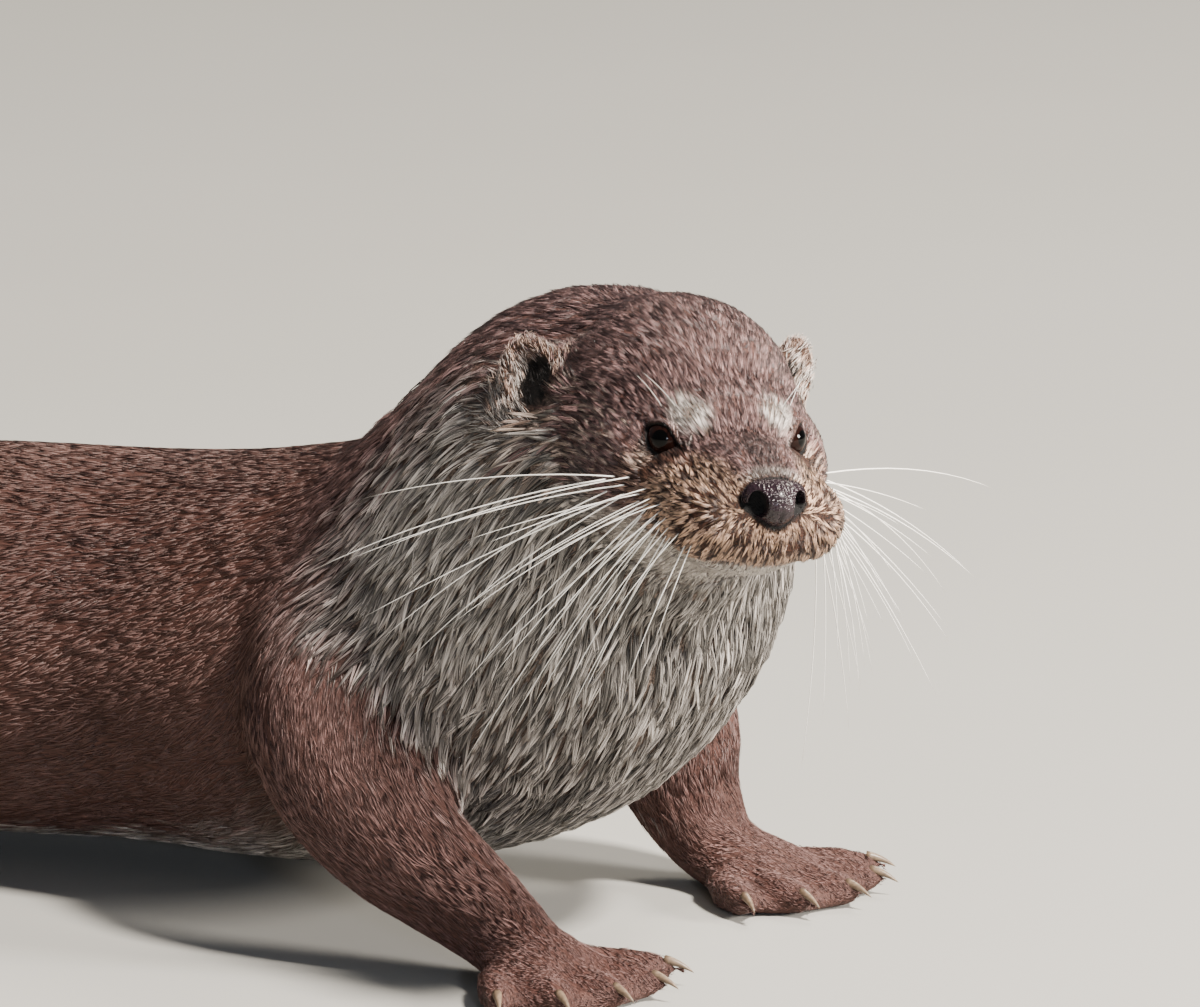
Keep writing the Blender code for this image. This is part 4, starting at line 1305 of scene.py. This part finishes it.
# A point given from the eyes, and how far it lies to the right of the view's middle and above it
ANCHOR, ANCHOR_RIGHT, ANCHOR_UP = Vector((-16.4, 54.2, 9.6)), 18.0556, 38.4722
VIEW_WIDE = 1000 / 3  # how much the view takes in at the animal
SENSOR = 36
FLOOR_WIDE = 14  # metres
LAMPS_AIM = Vector((-60, 60, -40))  # from the eyes to the shoulders
# Soft lamps: where each stands from the animal's shoulders, in metres, its size, its power and its colour
LAMPS = {
    "key": ((1.35, -1.05, 2.1), 0.35, 285, "#fff6ec"),
    "side": ((2.4, -0.7, 0.7), 0.6, 185, "#fff6ec"),
    "rim": ((0.9, 1.9, 2.1), 0.8, 55, "#fff4e4"),
    "catch": ((0.46, -2.6, 0.5), 0.14, 18, "#e8efff"),
}


def make_setting():
    """The camera, a plain pale floor and soft light."""
    scene = bpy.context.scene
    up = Vector((0, math.sin(ELEVATION), math.cos(ELEVATION)))
    back = Vector((0, -math.cos(ELEVATION), math.sin(ELEVATION)))
    target = EYES_BODY + ANCHOR - Vector((1, 0, 0)) * ANCHOR_RIGHT - up * ANCHOR_UP
    bpy.ops.object.camera_add()
    camera = bpy.context.object
    camera.location = to_row(target + back * CAMERA_DISTANCE)
    camera.rotation_euler = back.to_track_quat("Z", "Y").to_euler()
    camera.data.sensor_width = SENSOR
    camera.data.lens = SENSOR * CAMERA_DISTANCE / VIEW_WIDE
    camera.data.clip_end = 60
    scene.camera = camera

    bpy.ops.mesh.primitive_plane_add(size=FLOOR_WIDE, location=(0, 0, 0))
    floor = bpy.context.object
    floor.name = "floor"
    # Paper: matt, with hardly a shade between its fibres
    floor.data.materials.append(mottled_finish("pale matt paper", 400.0, "#9d9c96", "#a5a49f", 0.9, 1.5))

    world = bpy.data.worlds.new("studio")
    world.use_nodes = True
    feed(world.node_tree, world.node_tree.nodes["Background"], {"Color": "#b4bac2", "Strength": 0.4})
    scene.world = world
    aim = Vector(to_row(EYES_MIDDLE + LAMPS_AIM))
    for name, (place, size, power, colour) in LAMPS.items():
        bpy.ops.object.light_add(type="AREA")
        light = bpy.context.object
        light.name = name
        light.data.size = size
        light.data.energy = power
        light.data.color = linear(colour)[:3]
        light.location = aim + Vector(place)
        light.rotation_euler = Vector(place).to_track_quat("Z", "Y").to_euler()


def dress(piece, finish, slot, *nodes):
    """Gives a piece its finish, rides it on the one body and hides the solids that it replaces. The slot is
    not used.
    """
    piece.data.materials.append(finish)
    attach(piece, "root")
    if nodes:
        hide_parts(*nodes)


def main():
    skin = make_skin()
    tree = BVHTree.FromPolygons(places_of(skin.data).tolist(), triangles_of(skin.data).tolist())
    coat = grow_coat(skin)
    place_all(skin.data, to_row(places_of(skin.data)))
    dress(skin, skin_finish(), "coat_brown", *FLESH)
    fur = fur_finish()
    for piece in coat:
        dress(piece, fur, "coat_pale" if "neck" in piece.name else "coat_brown")
    cornea = eye_finish()
    for side, name in ((1, "left"), (-1, "right")):
        dress(make_eye(side, "eyeball_" + name), cornea, "eye", "eye_" + name)
    dress(make_nose(), nose_finish(), "nose_skin", "nose")
    # Horn: satin, in mottled greyish brown
    dress(make_claws(), mottled_finish("claw horn", 1.2, "#3a2c22", "#8a7660", 0.38, 1.54), "claw")
    # Bristle: stiff white keratin with a silky gloss
    bristles = mottled_finish("whisker bristle", 6.0, "#e9e4da", "#fffdf8", 0.3, 1.55)
    dress(make_whiskers(tree), bristles, "whisker")
    make_setting()


main()
